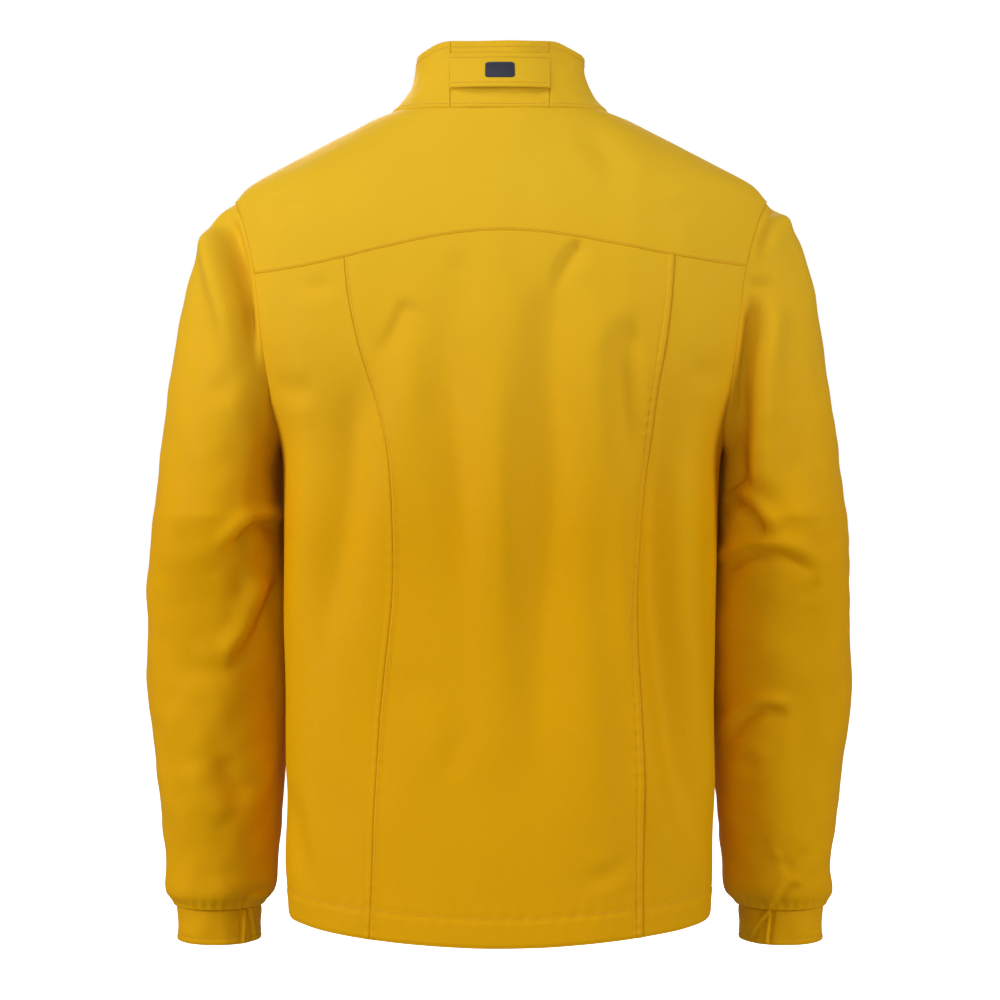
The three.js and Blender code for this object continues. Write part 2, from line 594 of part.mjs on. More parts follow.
// Down a sleeve: 0 at the armhole seam, 1 at the bicep, 2 at the elbow, 3 at the cuff.
function onSleeve(turn, way) {
  if (way > 2) return onTube(turn, lerp(ELBOW_Z, CUFF_TOP_Z, way - 2));
  if (way > 1) return onTube(turn, lerp(BICEP_Z, ELBOW_Z, way - 1));
  const [a, b] = [onArmhole(turn), onTube(turn, BICEP_Z)];
  const top = (1 + Math.cos(rad(turn))) / 2;
  const span = a.distanceTo(b);
  const leaveSpan = span * lerp(1, 0.62, top);
  const leave = new THREE.Vector3(lerp(0.35, 0.9, top), 0, lerp(-0.93, -0.44, top)).multiplyScalar(leaveSpan);
  const arrive = new THREE.Vector3(0.08 * top, 0, -1).multiplyScalar(span * 0.95);
  const [w, v] = [way, 1 - way];
  return a
    .multiplyScalar((1 + 2 * w) * v * v)
    .addScaledVector(leave, w * v * v)
    .addScaledVector(b, w * w * (3 - 2 * w))
    .addScaledVector(arrive, -w * w * v);
}
const sleeveAt = sunk(onSleeve, 0.5, -0.01);

const turns = [
  ...steps(HIGH_ROWS).map((k) => lerp(180, 360 - FRONT_CORNER_TURN, k)),
  ...steps(FRONT_ARM_COLS).slice(1).map((k) => lerp(360 - FRONT_CORNER_TURN, 360, k)),
  ...steps(BACK_ARM_COLS).slice(1).map((k) => lerp(360, 360 + BACK_CORNER_TURN, k)),
  ...steps(HIGH_ROWS).slice(1, -1).map((k) => lerp(360 + BACK_CORNER_TURN, 540, k)),
];
const sleevePlaces = (ways, list = turns) => ways.map((way) => list.map((turn) => [turn, way])).reverse();
const ARMHOLE_START = 0.006;
const capWays = [ARMHOLE_START, 0.1, 0.24, 0.42, 0.62, 0.82, 1];
const armWays = [1.33, 1.67, 2, 2.2, 2.4, 2.6, 2.8, 2.91, 3];
const sleeveWays = [...capWays, ...armWays];
addPair("sleeve", sheetOn(sleeveAt, sleevePlaces(sleeveWays), 0, FABRIC, SEAM_GAP / 2, true), "shell");

const LINING_START = 0.05;
const liningTurns = steps(12).slice(0, -1).map((k) => 360 * k);
const liningWays = [LINING_START, 0.25, 0.5, 1, 2, 2.4, 2.85];
const liningTube = sleevePlaces(liningWays, liningTurns);
addPair(
  "sleeve_lining",
  sheetOn(sleeveAt, liningTube, SLEEVE_LINING_DEPTH, SLEEVE_LINING_DEPTH + LINING, SEAM_GAP / 2, true),
  "lining",
);

// ---- Cuffs and their tabs ------------------------------------------------------------------------

const CUFF_FABRIC = 2; // two layers of shell
const CUFF_CENTRE = new THREE.Vector2(
  sleeveInner(CUFF_TOP_Z) + sleeveHalfWidth(CUFF_TOP_Z),
  sleeveForward(CUFF_TOP_Z),
);
const onCuff = (turn, z) =>
  new THREE.Vector3(
    CUFF_CENTRE.x + CUFF_HALF_WIDTH * Math.cos(rad(turn)),
    CUFF_CENTRE.y + CUFF_HALF_DEPTH * Math.sin(rad(turn)),
    z,
  );
const cuffAt = sunk(onCuff, 0.5, 0.5);
const cuffPlaces = (list, z0, z1, n) => steps(n).map((k) => list.map((turn) => [turn, lerp(z0, z1, k)]));
const cuffTurns = steps(24).slice(0, -1).map((k) => 360 * k);
addPair(
  "cuff",
  sheetOn(cuffAt, cuffPlaces(cuffTurns, CUFF_BOTTOM_Z, CUFF_TOP_Z, 2), 0, CUFF_FABRIC, SEAM_GAP / 2, true),
  "shell",
);
const tabTurns = steps(8).map((k) => lerp(CUFF_TAB_END, CUFF_TAB_START, k));
const patchTurns = steps(5).map((k) => lerp(CUFF_TAB_END + 8, CUFF_TAB_END + 42, k));
const cuffMid = (CUFF_TOP_Z + CUFF_BOTTOM_Z) / 2;
const LOOP_HALF_HEIGHT = 8;
const LOOP_TAPE = 0.8;
const HOOK_LIFT = 1.9; // tab's underside above the cuff
const TAB_THICKNESS = 1.4;
const loopPlaces = cuffPlaces(patchTurns, cuffMid - LOOP_HALF_HEIGHT, cuffMid + LOOP_HALF_HEIGHT, 1);
addPair("cuff_loop_tape", sheetOn(cuffAt, loopPlaces, -0.4 - LOOP_TAPE, -0.4), "hook");
const cuffTabPlaces = cuffPlaces(tabTurns, cuffMid - CUFF_TAB_HEIGHT / 2, cuffMid + CUFF_TAB_HEIGHT / 2, 1);
addPair("cuff_tab", sheetOn(cuffAt, cuffTabPlaces, -HOOK_LIFT - TAB_THICKNESS, -HOOK_LIFT), "shell");

// ---- Lining, hem facing, hanger loop and label ---------------------------------------------------

const LINING_MARGIN = 3;
const LINING_NECK_DROP = 5; // it ends below the inner collar
const liningFoot = (angle) => hemHeight(angle) + HEM_DEPTH + LINING_MARGIN;
const liningTop = (angle) => neckHeight(angle) - LINING_NECK_DROP;
// Places like a panel's, from the turned-up hem to just below the neck seam.
function liningPlaces(shares, edgeA, edgeB) {
  const zones = [
    ...steps(3).map((q) => ({ q, ends: (angle) => [liningFoot(angle), PIT_Z] })),
    ...steps(5).slice(1).map((k) => ({ q: (1 - Math.cos(Math.PI * k)) / 2, ends: () => [PIT_Z, TIP_Z] })),
    ...steps(4).slice(1).map((q) => ({ q, ends: (angle) => [TIP_Z, liningTop(angle)] })),
  ];
  return zones.map(({ q, ends }) =>
    shares.map((share) => {
      let [z, angle] = [PIT_Z, 0];
      for (let i = 0; i < 14; i++) {
        angle = lerp(edgeA(z), edgeB(z), share);
        z = lerp(...ends(angle), q);
      }
      return [angle, z];
    }),
  );
}
const backLiningPlaces = liningPlaces(steps(12), armholeAngle, (z) => mirrored(armholeAngle(z)));
add(
  "back_lining",
  sheetOn(bodyAt, backLiningPlaces, BACK_LINING_DEPTH, BACK_LINING_DEPTH + LINING, LINING_MARGIN),
  "lining",
);
const frontLiningPlaces = liningPlaces(steps(6), liningEdge, (z) => -armholeAngle(z));
addPair(
  "front_lining",
  sheetOn(bodyAt, frontLiningPlaces, FRONT_LINING_DEPTH, FRONT_LINING_DEPTH + LINING, LINING_MARGIN),
  "lining",
);

const facingEdge = liningEdge(HEM_Z);
const facingAngles = steps(28).map((k) => lerp(facingEdge, mirrored(facingEdge), k));
const facingHeights = [1, HEM_DEPTH - 1]; // above the hem's edge
const facingRow = (rise) => facingAngles.map((angle) => [angle, hemHeight(angle) + rise]);
const facingPlaces = facingHeights.map(facingRow);
const FACING_DEPTH = 3;
add("hem_facing", sheetOn(bodyAt, facingPlaces, FACING_DEPTH, FACING_DEPTH + FABRIC), "shell");

const LOOP_HALF_LENGTH = 30;
const LOOP_BOW = 13; // how far the loop stands off the lining
const LOOP_HEIGHT = 7;
const LOOP_TOP_Z = -BACK_NECK_DROP - 10;
const LOOP_TAPE_THICKNESS = 1.4;
const LOOP_FOOT = 8;
const footX = LOOP_HALF_LENGTH - 4;
const footAngle = deg(Math.acos((footX + LOOP_FOOT) / COLLAR_TOP_BACK));
const footBack = bodyAt(footAngle, LOOP_TOP_Z, BACK_LINING_DEPTH + LINING).y - 1.5;
const loopRoot = footBack - 4;
const bow = (x) => loopRoot - LOOP_BOW * Math.cos((Math.PI / 2) * (x / LOOP_HALF_LENGTH)) ** 0.7;
const loopXs = steps(12).map((k) => lerp(-LOOP_HALF_LENGTH, LOOP_HALF_LENGTH, k));
const loopShape = new THREE.Shape([
  ...loopXs.map((x) => new THREE.Vector2(x, bow(x))),
  ...loopXs.toReversed().map((x) => new THREE.Vector2(x, bow(x) + LOOP_TAPE_THICKNESS)),
]);
const loopFeet = [-1, 1].map((side) =>
  onSide(side, footX, footX + LOOP_FOOT, loopRoot - 2, footBack, LOOP_TOP_Z - LOOP_HEIGHT, LOOP_TOP_Z),
);
const loopBand = new THREE.ExtrudeGeometry(loopShape, { depth: LOOP_HEIGHT, bevelEnabled: false }).translate(
  0, 0, LOOP_TOP_Z - LOOP_HEIGHT,
);
add("hanger_loop", joined(loopBand, ...loopFeet), "label");

const LABEL_WIDTH = 40;
const LABEL_HEIGHT = 26;
const LABEL_TOP_Z = LOOP_TOP_Z - LOOP_HEIGHT - 6;
const LABEL_REACH = 95; // about how far the label is from the neck's middle
const labelHalfAngle = deg(LABEL_WIDTH / 2 / LABEL_REACH);
const labelAngles = steps(4).map((k) => lerp(90 - labelHalfAngle, 90 + labelHalfAngle, k));
const labelHeight = (k) => lerp(LABEL_TOP_Z - LABEL_HEIGHT, LABEL_TOP_Z, k);
const labelPlaces = steps(3).map((k) => labelAngles.map((angle) => [angle, labelHeight(k)]));
const LABEL_LAYER = BACK_LINING_DEPTH + LINING + 1.6;
add("neck_label", sheetOn(bodyAt, labelPlaces, LABEL_LAYER, LABEL_LAYER + 0.6), "label");

// ---- Pocket bags ---------------------------------------------------------------------------------

const BAG_ANGLES = [-72, -34];
const BAG_TOP = -POCKET_TOP_DROP + 14;
const BAG_BOTTOM = Math.max(-POCKET_TOP_DROP - POCKET_LENGTH - 20, HEM_Z + HEM_DEPTH + 8);
const bagRow = (z) => steps(6).map((p) => [lerp(...BAG_ANGLES, p), z]);
const bagPlaces = steps(6).map((q) => bagRow(lerp(BAG_BOTTOM, BAG_TOP, q)));
addPair("pocket_bag", sheetOn(bodyAt, bagPlaces, POCKET_BAG_DEPTH, POCKET_BAG_DEPTH + FABRIC), "lining");

// ---- Zips ----------------------------------------------------------------------------------------

// A slider round a chain of teeth. Local frame: x across, y inwards, z up; its top is at z = 0.
// chain gives the chain's front and back faces and its half-width.
function slider(chain, length, plate) {
  const half = chain.half + ZIP_CLEARANCE + plate;
  const front = chain.front - ZIP_CLEARANCE;
  const back = chain.back + ZIP_CLEARANCE;
  const web = TEETH_HALF_GAP - ZIP_CLEARANCE;
  const barY = front - plate - BAIL_RISE;
  const barZ = -length * BAIL_PLACE;
  const posts = [-1, 1].map((side) =>
    onSide(side, BAIL_INNER, BAIL_INNER + POST, barY - 1, front - plate / 2, barZ - POST, barZ + POST),
  );
  return joined(
    box(-half, half, front - plate, front, -length, 0),
    box(-half, half, back, back + plate, -length, 0),
    box(-web, web, front - 0.1, back + 0.1, -length, 0),
    ...posts,
    rod(BAIL_RADIUS, 2 * BAIL_INNER + 0.6, barY, barZ),
  );
}
const BAIL_RISE = 2.2;
const BAIL_RADIUS = 0.7;
const BAIL_INNER = 2.1;
const BAIL_PLACE = 0.62; // share of the slider's length down to its bar
const POST = 1.1; // thickness of the two posts that carry the bar
const EYE_RADIUS = 1.9;
const EYE_CLEARANCE = 0.35;
const barPlace = (chain, length, plate) => ({
  y: chain.front - ZIP_CLEARANCE - plate - BAIL_RISE,
  z: -length * BAIL_PLACE,
});
// A pull tab that hangs from a slider's bar, with a grip wider than its neck. hang turns it to the vertical.
function puller(bar, reach, gripHalf, hang) {
  const neck = BAIL_INNER - 0.35;
  const grip = new THREE.Shape();
  const [top, low] = [-EYE_RADIUS - 1.6, -reach];
  grip.moveTo(-neck, top + 1);
  grip.lineTo(-gripHalf * 0.8, top - 4);
  grip.lineTo(-gripHalf, low + gripHalf);
  grip.absarc(0, low + gripHalf, gripHalf, Math.PI, 2 * Math.PI, false);
  grip.lineTo(gripHalf * 0.8, top - 4);
  grip.lineTo(neck, top + 1);
  const tab = new THREE.ExtrudeGeometry(grip, { depth: 1.6, bevelEnabled: false, curveSegments: 8 });
  const eye = joined(
    rod(EYE_RADIUS, 2 * neck, 0, 0),
    box(-neck, neck, -0.8, 0.8, top, 0),
    tab.rotateX(Math.PI / 2).translate(0, 0.8, 0),
  );
  return cut(eye, rod(BAIL_RADIUS + EYE_CLEARANCE, 3 * neck, 0, 0)).rotateX(hang).translate(0, bar.y, bar.z);
}

// Front zip, in a frame that leans with the front: its top end is at the collar's top edge.
const ZIP_TOP_Z = FRONT_COLLAR_RISE - 1;
const zip = new THREE.Group();
zip.position.set(0, -frontLine(ZIP_TOP_Z), ZIP_TOP_Z);
zip.rotation.x = -rad(FRONT_LEAN);
jacket.add(zip);
const ZIP_LENGTH = (ZIP_TOP_Z - HEM_Z) / Math.cos(rad(FRONT_LEAN));
const TEETH_END = TEETH_HALF_GAP + TEETH_WIDTH;
const TEETH_FRONT = TAPE_DEPTH + TAPE / 2 - TEETH_THICKNESS / 2;
const TEETH_BACK = TEETH_FRONT + TEETH_THICKNESS;
const PIECE_GAP = 0.3;
const teethTop = -STOP_LENGTH - PIECE_GAP;
const teethBottom = -ZIP_LENGTH + BOX_LENGTH + PIN_LENGTH + 2 * PIECE_GAP;
const tapeStart = TEETH_END + PIECE_GAP;
for (const [name, side] of [["left", 1], ["right", -1]]) {
  const strip = (y0, y1, z0, z1, x0 = TEETH_HALF_GAP, x1 = TEETH_END) => onSide(side, x0, x1, y0, y1, z0, z1);
  const tape = strip(TAPE_DEPTH, TAPE_DEPTH + TAPE, -ZIP_LENGTH + 1, -0.5, tapeStart, TAPE_HALF_WIDTH);
  add(name + "_zip_tape", tape, "tape", zip);
  add(name + "_zip_teeth", strip(TEETH_FRONT, TEETH_BACK, teethBottom, teethTop), "teeth", zip);
  add(name + "_top_stop", strip(TEETH_FRONT - 0.4, TEETH_BACK + 0.4, -STOP_LENGTH, -0.2), "slider", zip);
}
const pinTop = teethBottom - PIECE_GAP;
const pinBottom = -ZIP_LENGTH + BOX_LENGTH + PIECE_GAP;
const pin = [TEETH_HALF_GAP, TEETH_END - 0.8, TEETH_FRONT, TEETH_BACK, pinBottom, pinTop];
add("insertion_pin", onSide(1, ...pin), "teeth", zip);
add("retainer_pin", onSide(-1, ...pin), "teeth", zip);
const BOX_WALL = 0.8; // how far the box stands past the teeth's faces
const boxTop = -ZIP_LENGTH + BOX_LENGTH;
const boxFaces = [TEETH_FRONT - BOX_WALL, TEETH_BACK + BOX_WALL];
const retainer = box(-TEETH_END, TEETH_END, ...boxFaces, -ZIP_LENGTH, boxTop);
add("retainer_box", retainer, "teeth", zip);

const mainChain = { front: TEETH_FRONT, back: TEETH_BACK, half: TEETH_END };
const MAIN_SLIDER_LENGTH = 13;
const MAIN_PLATE = 1.3;
const mainSliderTop = teethTop - PIECE_GAP;
const mainSlider = slider(mainChain, MAIN_SLIDER_LENGTH, MAIN_PLATE).translate(0, 0, mainSliderTop);
add("main_slider", mainSlider, "slider", zip);
const mainBar = barPlace(mainChain, MAIN_SLIDER_LENGTH, MAIN_PLATE);
mainBar.z += mainSliderTop;
add("main_puller", puller(mainBar, 34, 4.5, rad(FRONT_LEAN)), "puller", zip);

const GUARD_DEPTH = TEETH_BACK + ZIP_CLEARANCE + MAIN_PLATE + 1;
const GUARD_EDGES = [-16, 20]; // wider on the side where it is sewn on
add("zip_guard", box(...GUARD_EDGES, GUARD_DEPTH, GUARD_DEPTH + FABRIC, -ZIP_LENGTH + 3, -4), "shell", zip);
const GARAGE_LENGTH = 42;
const GARAGE_FLAP = ZIP_EDGE - 1.5; // half-width of the part folded over the zip's top
const garageBack = GUARD_DEPTH + FABRIC + PIECE_GAP;
const GARAGE_EDGES = [-13, 16];
const garage = joined(
  box(...GARAGE_EDGES, garageBack, garageBack + FABRIC, -GARAGE_LENGTH, 2),
  box(-GARAGE_FLAP, GARAGE_FLAP, TEETH_FRONT, garageBack + FABRIC, 0.6, 2),
);
add("chin_guard", garage, "shell", zip);

// Hand pocket zips: a slotted tape that fills the panel's window, with its slider at the top when closed.
const POCKET_TAPE = 1.2;
const POCKET_TAPE_DEPTH = 0.2;
const POCKET_SLOT_HALF = TEETH_HALF_GAP;
const pocketTapeHalf = POCKET_WINDOW_HALF_WIDTH - PIECE_GAP;
const pocketChain = { front: POCKET_TAPE_DEPTH, back: POCKET_TAPE_DEPTH + POCKET_TAPE, half: 2.6 };
const POCKET_SLIDER_LENGTH = 9;
const POCKET_PLATE = 1.0;
const POCKET_END = 4; // closed tape beyond each end of the slot
const pocketTape = cut(
  box(
    -pocketTapeHalf, pocketTapeHalf,
    POCKET_TAPE_DEPTH, POCKET_TAPE_DEPTH + POCKET_TAPE,
    -POCKET_LENGTH + PIECE_GAP, -PIECE_GAP,
  ),
  box(-POCKET_SLOT_HALF, POCKET_SLOT_HALF, -5, 5, -POCKET_LENGTH + POCKET_END, -POCKET_END),
);
addPair("pocket_zip", inPocket(pocketTape), "tape");
const pocketSliderTop = -POCKET_END - PIECE_GAP;
const pocketSlider = slider(pocketChain, POCKET_SLIDER_LENGTH, POCKET_PLATE).translate(0, 0, pocketSliderTop);
addPair("pocket_slider", inPocket(pocketSlider), "slider");
const pocketBar = barPlace(pocketChain, POCKET_SLIDER_LENGTH, POCKET_PLATE);
pocketBar.z += pocketSliderTop;
const pocketHang = Math.atan2(-pocketIn.z, pocketUp.z);
addPair("pocket_puller", inPocket(puller(pocketBar, 26, 3.4, pocketHang)), "puller");

export default jacket;
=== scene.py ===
import math

import bmesh
import bpy
import numpy as np
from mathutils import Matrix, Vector


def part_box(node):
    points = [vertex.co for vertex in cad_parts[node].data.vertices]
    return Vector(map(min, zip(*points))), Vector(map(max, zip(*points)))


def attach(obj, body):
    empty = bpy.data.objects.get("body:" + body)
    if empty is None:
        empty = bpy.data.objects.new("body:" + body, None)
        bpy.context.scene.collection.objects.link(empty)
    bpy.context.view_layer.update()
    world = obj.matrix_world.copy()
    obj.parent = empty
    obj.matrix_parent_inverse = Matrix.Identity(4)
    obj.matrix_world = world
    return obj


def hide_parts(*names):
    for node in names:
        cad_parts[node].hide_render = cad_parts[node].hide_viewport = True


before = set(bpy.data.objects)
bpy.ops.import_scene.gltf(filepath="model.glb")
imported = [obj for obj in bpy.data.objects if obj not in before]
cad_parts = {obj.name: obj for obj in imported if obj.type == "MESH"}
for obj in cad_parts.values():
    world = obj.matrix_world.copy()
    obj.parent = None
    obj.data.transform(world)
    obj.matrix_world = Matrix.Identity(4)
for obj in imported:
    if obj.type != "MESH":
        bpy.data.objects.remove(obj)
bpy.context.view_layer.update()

# The looks of a yellow shell jacket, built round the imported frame. Lengths are in millimetres until a
# mesh is made. The wearer faces -Y, so the back is at +Y, and +X is the wearer's left.

MM = 0.001
JACKET = "jacket"


def corners(node):
    low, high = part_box(node)
    return np.array(low) / MM, np.array(high) / MM


# ---- Sizes, taken from the frame or repeated from the part --------------------------------------

SEAM = 0.6  # half the gap that the frame keeps between sewn panels
HEM_Z = corners("left_front_panel")[0][2] - SEAM
TAIL_Z = corners("centre_back_panel")[0][2] - SEAM
TIP_Z = -76.0
PIT_Z = -285.0
YOKE_Z = -112.0
CHEST = 188.0
HEM_TAPER = 4.0
WAIST_TAPER = 3.0
SHOULDER = 229.0
ARMHOLE_HALF = 72.0
NECK_HALF = 94.0
FRONT_DEPTH = 83.0
LEAN = math.radians(4.6)
FRONT_NECK_DROP = 34.0
BACK_NECK_DROP = 6.0
COLLAR_TOP_Z = corners("collar_back_panel")[1][2]
FRONT_COLLAR_Z = COLLAR_TOP_Z - 8.0
COLLAR_HALF = 73.0
COLLAR_BACK = 71.0
FRONT_NECK_CORNER = -40.0
FRONT_YOKE_DROP = 36.0
ZIP_EDGE = 8.0
CUFF_LOW_Z = corners("left_cuff")[0][2]
CUFF_HIGH_Z = corners("left_cuff")[1][2] + SEAM
CUFF_X = (corners("left_cuff")[0][0] + corners("left_cuff")[1][0]) / 2
CUFF_Y = (corners("left_cuff")[0][1] + corners("left_cuff")[1][1]) / 2
CUFF_HALF_X = CUFF_X - corners("left_cuff")[0][0]
CUFF_HALF_Y = CUFF_Y - corners("left_cuff")[0][1]
ELBOW_Z = TIP_Z - 374.0
BICEP_Z = PIT_Z - 60.0
ARM_MID_Z = (TIP_Z + PIT_Z) / 2
ARM_HALF = (TIP_Z - PIT_Z) / 2
HEM_DEPTH = 24.0


def lerp(a, b, t):
    return a + (b - a) * t


def ease(t):
    t = np.clip(t, 0, 1)
    return t * t * (3 - 2 * t)


def polar(angle):
    a = np.radians(angle)
    return np.cos(a), np.sin(a)


def mirror(p):
    return p * np.array([-1.0, 1.0, 1.0])


def on_side(side, p):
    """Places made for the left side of the jacket, moved to the side that is named."""
    return mirror(p) if side == "right" else p


class Profile:
    """A smooth curve through (place, value) pairs given in rising order of place."""

    def __init__(self, *points):
        self.x, self.y = np.array(points, float).T
        slope = np.empty_like(self.y)
        slope[1:-1] = (self.y[2:] - self.y[:-2]) / (self.x[2:] - self.x[:-2])
        slope[0] = (self.y[1] - self.y[0]) / (self.x[1] - self.x[0])
        slope[-1] = (self.y[-1] - self.y[-2]) / (self.x[-1] - self.x[-2])
        self.slope = slope

    def __call__(self, at):
        k = np.clip(np.searchsorted(self.x, at, "right") - 1, 0, len(self.x) - 2)
        h = self.x[k + 1] - self.x[k]
        t = np.clip((at - self.x[k]) / h, 0, 1)
        v = 1 - t
        return (
            (1 + 2 * t) * v * v * self.y[k] + t * v * v * h * self.slope[k]
            + t * t * (3 - 2 * t) * self.y[k + 1] - t * t * v * h * self.slope[k + 1]
        )


# ---- The body's surface -------------------------------------------------------------------------

body_side = Profile(
    (HEM_Z, CHEST - HEM_TAPER), (lerp(HEM_Z, PIT_Z, 0.5), CHEST - WAIST_TAPER), (PIT_Z, CHEST)
)
armhole_line = Profile(
    (PIT_Z, CHEST),
    (lerp(PIT_Z, TIP_Z, 0.4), lerp(CHEST, SHOULDER, 0.25)),
    (lerp(PIT_Z, TIP_Z, 0.7), lerp(CHEST, SHOULDER, 0.46)),
    (lerp(PIT_Z, TIP_Z, 0.9), lerp(CHEST, SHOULDER, 0.76)),
    (TIP_Z, SHOULDER),
)
shoulder_line = Profile(
    (TIP_Z, SHOULDER),
    (TIP_Z * 0.8, lerp(NECK_HALF, SHOULDER, 0.89)),
    (TIP_Z * 0.43, lerp(NECK_HALF, SHOULDER, 0.5)),
    (TIP_Z * 0.1, lerp(NECK_HALF, SHOULDER, 0.14)),
    (0, NECK_HALF),
)
back_line = Profile(
    (HEM_Z, 122), (lerp(HEM_Z, PIT_Z, 0.6), 118), (PIT_Z, 126), (lerp(PIT_Z, YOKE_Z, 0.5), 126),
    (YOKE_Z, 115), (YOKE_Z * 0.4, 96), (0, 80),
)


def front_line(z):
    return FRONT_DEPTH - z * math.tan(LEAN)


def depth_of(z, back):
    return np.where(back, back_line(z), front_line(z))


def squareness(z, back):
    return np.where(back, lerp(2.15, 2.4, np.clip(z / PIT_Z, 0, 1)), 2.6)


def armhole_breadth(z):
    share = (z - ARM_MID_Z) / ARM_HALF
    return ARMHOLE_HALF * np.sqrt(np.clip(1 - share * share, 0, 1))


def raw_half_width(z, back):
    n = squareness(z, back)
    grown = armhole_line(z) / (1 - (armhole_breadth(z) / depth_of(z, back)) ** n) ** (1 / n)
    return np.where(z <= PIT_Z, body_side(z), np.where(z >= TIP_Z, shoulder_line(z), grown))


# The width's kink at the underarm is smoothed away, as cloth does.
width_z = np.arange(HEM_Z - 30, 8, 1.0)
KERNEL = np.exp(-0.5 * (np.arange(-45, 46) / 16.0) ** 2)
KERNEL /= KERNEL.sum()


def smoothed_width(back):
    raw = raw_half_width(width_z, back)
    soft = np.convolve(np.pad(raw, 45, mode="edge"), KERNEL, "valid")
    return lerp(raw, soft, np.exp(-(((width_z - PIT_Z) / 70) ** 2)))


width_table = {True: smoothed_width(True), False: smoothed_width(False)}


def half_width(z, back):
    return np.where(back, np.interp(z, width_z, width_table[True]), np.interp(z, width_z, width_table[False]))


def armhole_angle(z):
    return np.degrees(np.arctan2(armhole_breadth(z), armhole_line(z)))


def on_body(angle, z):
    """-90 degrees is the centre front, 0 the wearer's left side and 90 the centre back."""
    angle, z = np.broadcast_arrays(np.asarray(angle, float), np.asarray(z, float))
    c, s = polar(angle)
    back = s >= 0
    n = squareness(z, back)
    r = (np.abs(c / half_width(z, back)) ** n + np.abs(s / depth_of(z, back)) ** n) ** (-1 / n)
    return np.stack([r * c, r * s, z], -1)


def unit(v):
    return v / np.maximum(np.linalg.norm(v, axis=-1, keepdims=True), 1e-9)


def normals_on(surface, u, v, du, dv):
    across = surface(u + du, v) - surface(u - du, v)
    along = surface(u, v + dv) - surface(u, v - dv)
    return unit(np.cross(across, along))


def body_normal(angle, z):
    return normals_on(on_body, angle, z, 1.2, 3.0)


def hem_height(angle):
    return HEM_Z + (TAIL_Z - HEM_Z) * np.maximum(0, polar(angle)[1]) ** 2


def neck_height(angle):
    s = polar(angle)[1]
    return -np.where(s < 0, FRONT_NECK_DROP, BACK_NECK_DROP) * s * s


YOKE_SWEEP_LEFT = 31.0
YOKE_SWEEP_RIGHT = 24.0  # the jacket hangs a little unevenly


def yoke_height(angle):
    angle = np.asarray(angle, float)
    sweep = np.where(angle <= 90, YOKE_SWEEP_LEFT, YOKE_SWEEP_RIGHT)
    z = np.full(angle.shape, YOKE_Z)
    for _ in range(12):
        share = np.clip(np.abs(on_body(angle, z)[..., 0]) / (CHEST + 18), 0, 1)
        z = YOKE_Z - sweep * (1 - np.cos(np.pi * share)) / 2
    return z


left_princess = Profile(
    (-686, 106), (-522, 100), (-413, 88), (-345, 87), (-294, 90), (-260, 98), (-230, 108), (-199, 117),
    (-165, 124), (-127, 128),
)
right_princess = Profile(
    (-686, 118), (-579, 118), (-511, 116), (-428, 113), (-356, 118), (-307, 123), (-244, 129), (-205, 136),
    (-165, 141), (-126, 144),
)


def princess_angle(line, z):
    n = squareness(z, True)
    x = line(z)
    y = back_line(z) * (1 - (x / half_width(z, True)) ** n) ** (1 / n)
    return np.degrees(np.arctan2(y, x))


def turn_at(z):
    return math.degrees(math.acos(np.clip((z - ARM_MID_Z) / ARM_HALF, -1, 1)))


def height_at(turn):
    return ARM_MID_Z + ARM_HALF * polar(turn)[0]


def back_corner_turn(sweep):
    return turn_at(YOKE_Z - sweep)


FRONT_CORNER_Z = TIP_Z - FRONT_YOKE_DROP
FRONT_CORNER_TURN = turn_at(FRONT_CORNER_Z)
FRONT_CORNER_ANGLE = -float(armhole_angle(FRONT_CORNER_Z))


def zip_edge_angle(z):
    return -90 + np.degrees(np.arcsin(ZIP_EDGE / front_line(z)))


def front_top(angle):
    share = (angle - FRONT_NECK_CORNER) / (FRONT_CORNER_ANGLE - FRONT_NECK_CORNER)
    slanted = lerp(neck_height(FRONT_NECK_CORNER), FRONT_CORNER_Z, share)
    return np.where(angle <= FRONT_NECK_CORNER, neck_height(angle), slanted)


# ---- Folds --------------------------------------------------------------------------------------


def smooth_path(points, per=7):
    p = np.array(points, float)
    p = np.vstack([2 * p[0] - p[1], p, 2 * p[-1] - p[-2]])
    out = []
    for i in range(1, len(p) - 2):
        for t in np.arange(per) / per:
            a, b, c, d = p[i - 1], p[i], p[i + 1], p[i + 2]
            square, cube = 2 * a - 5 * b + 4 * c - d, 3 * b - a - 3 * c + d
            out.append(0.5 * (2 * b + (c - a) * t + square * t**2 + cube * t**3))
    out.append(p[-2])
    return np.array(out)


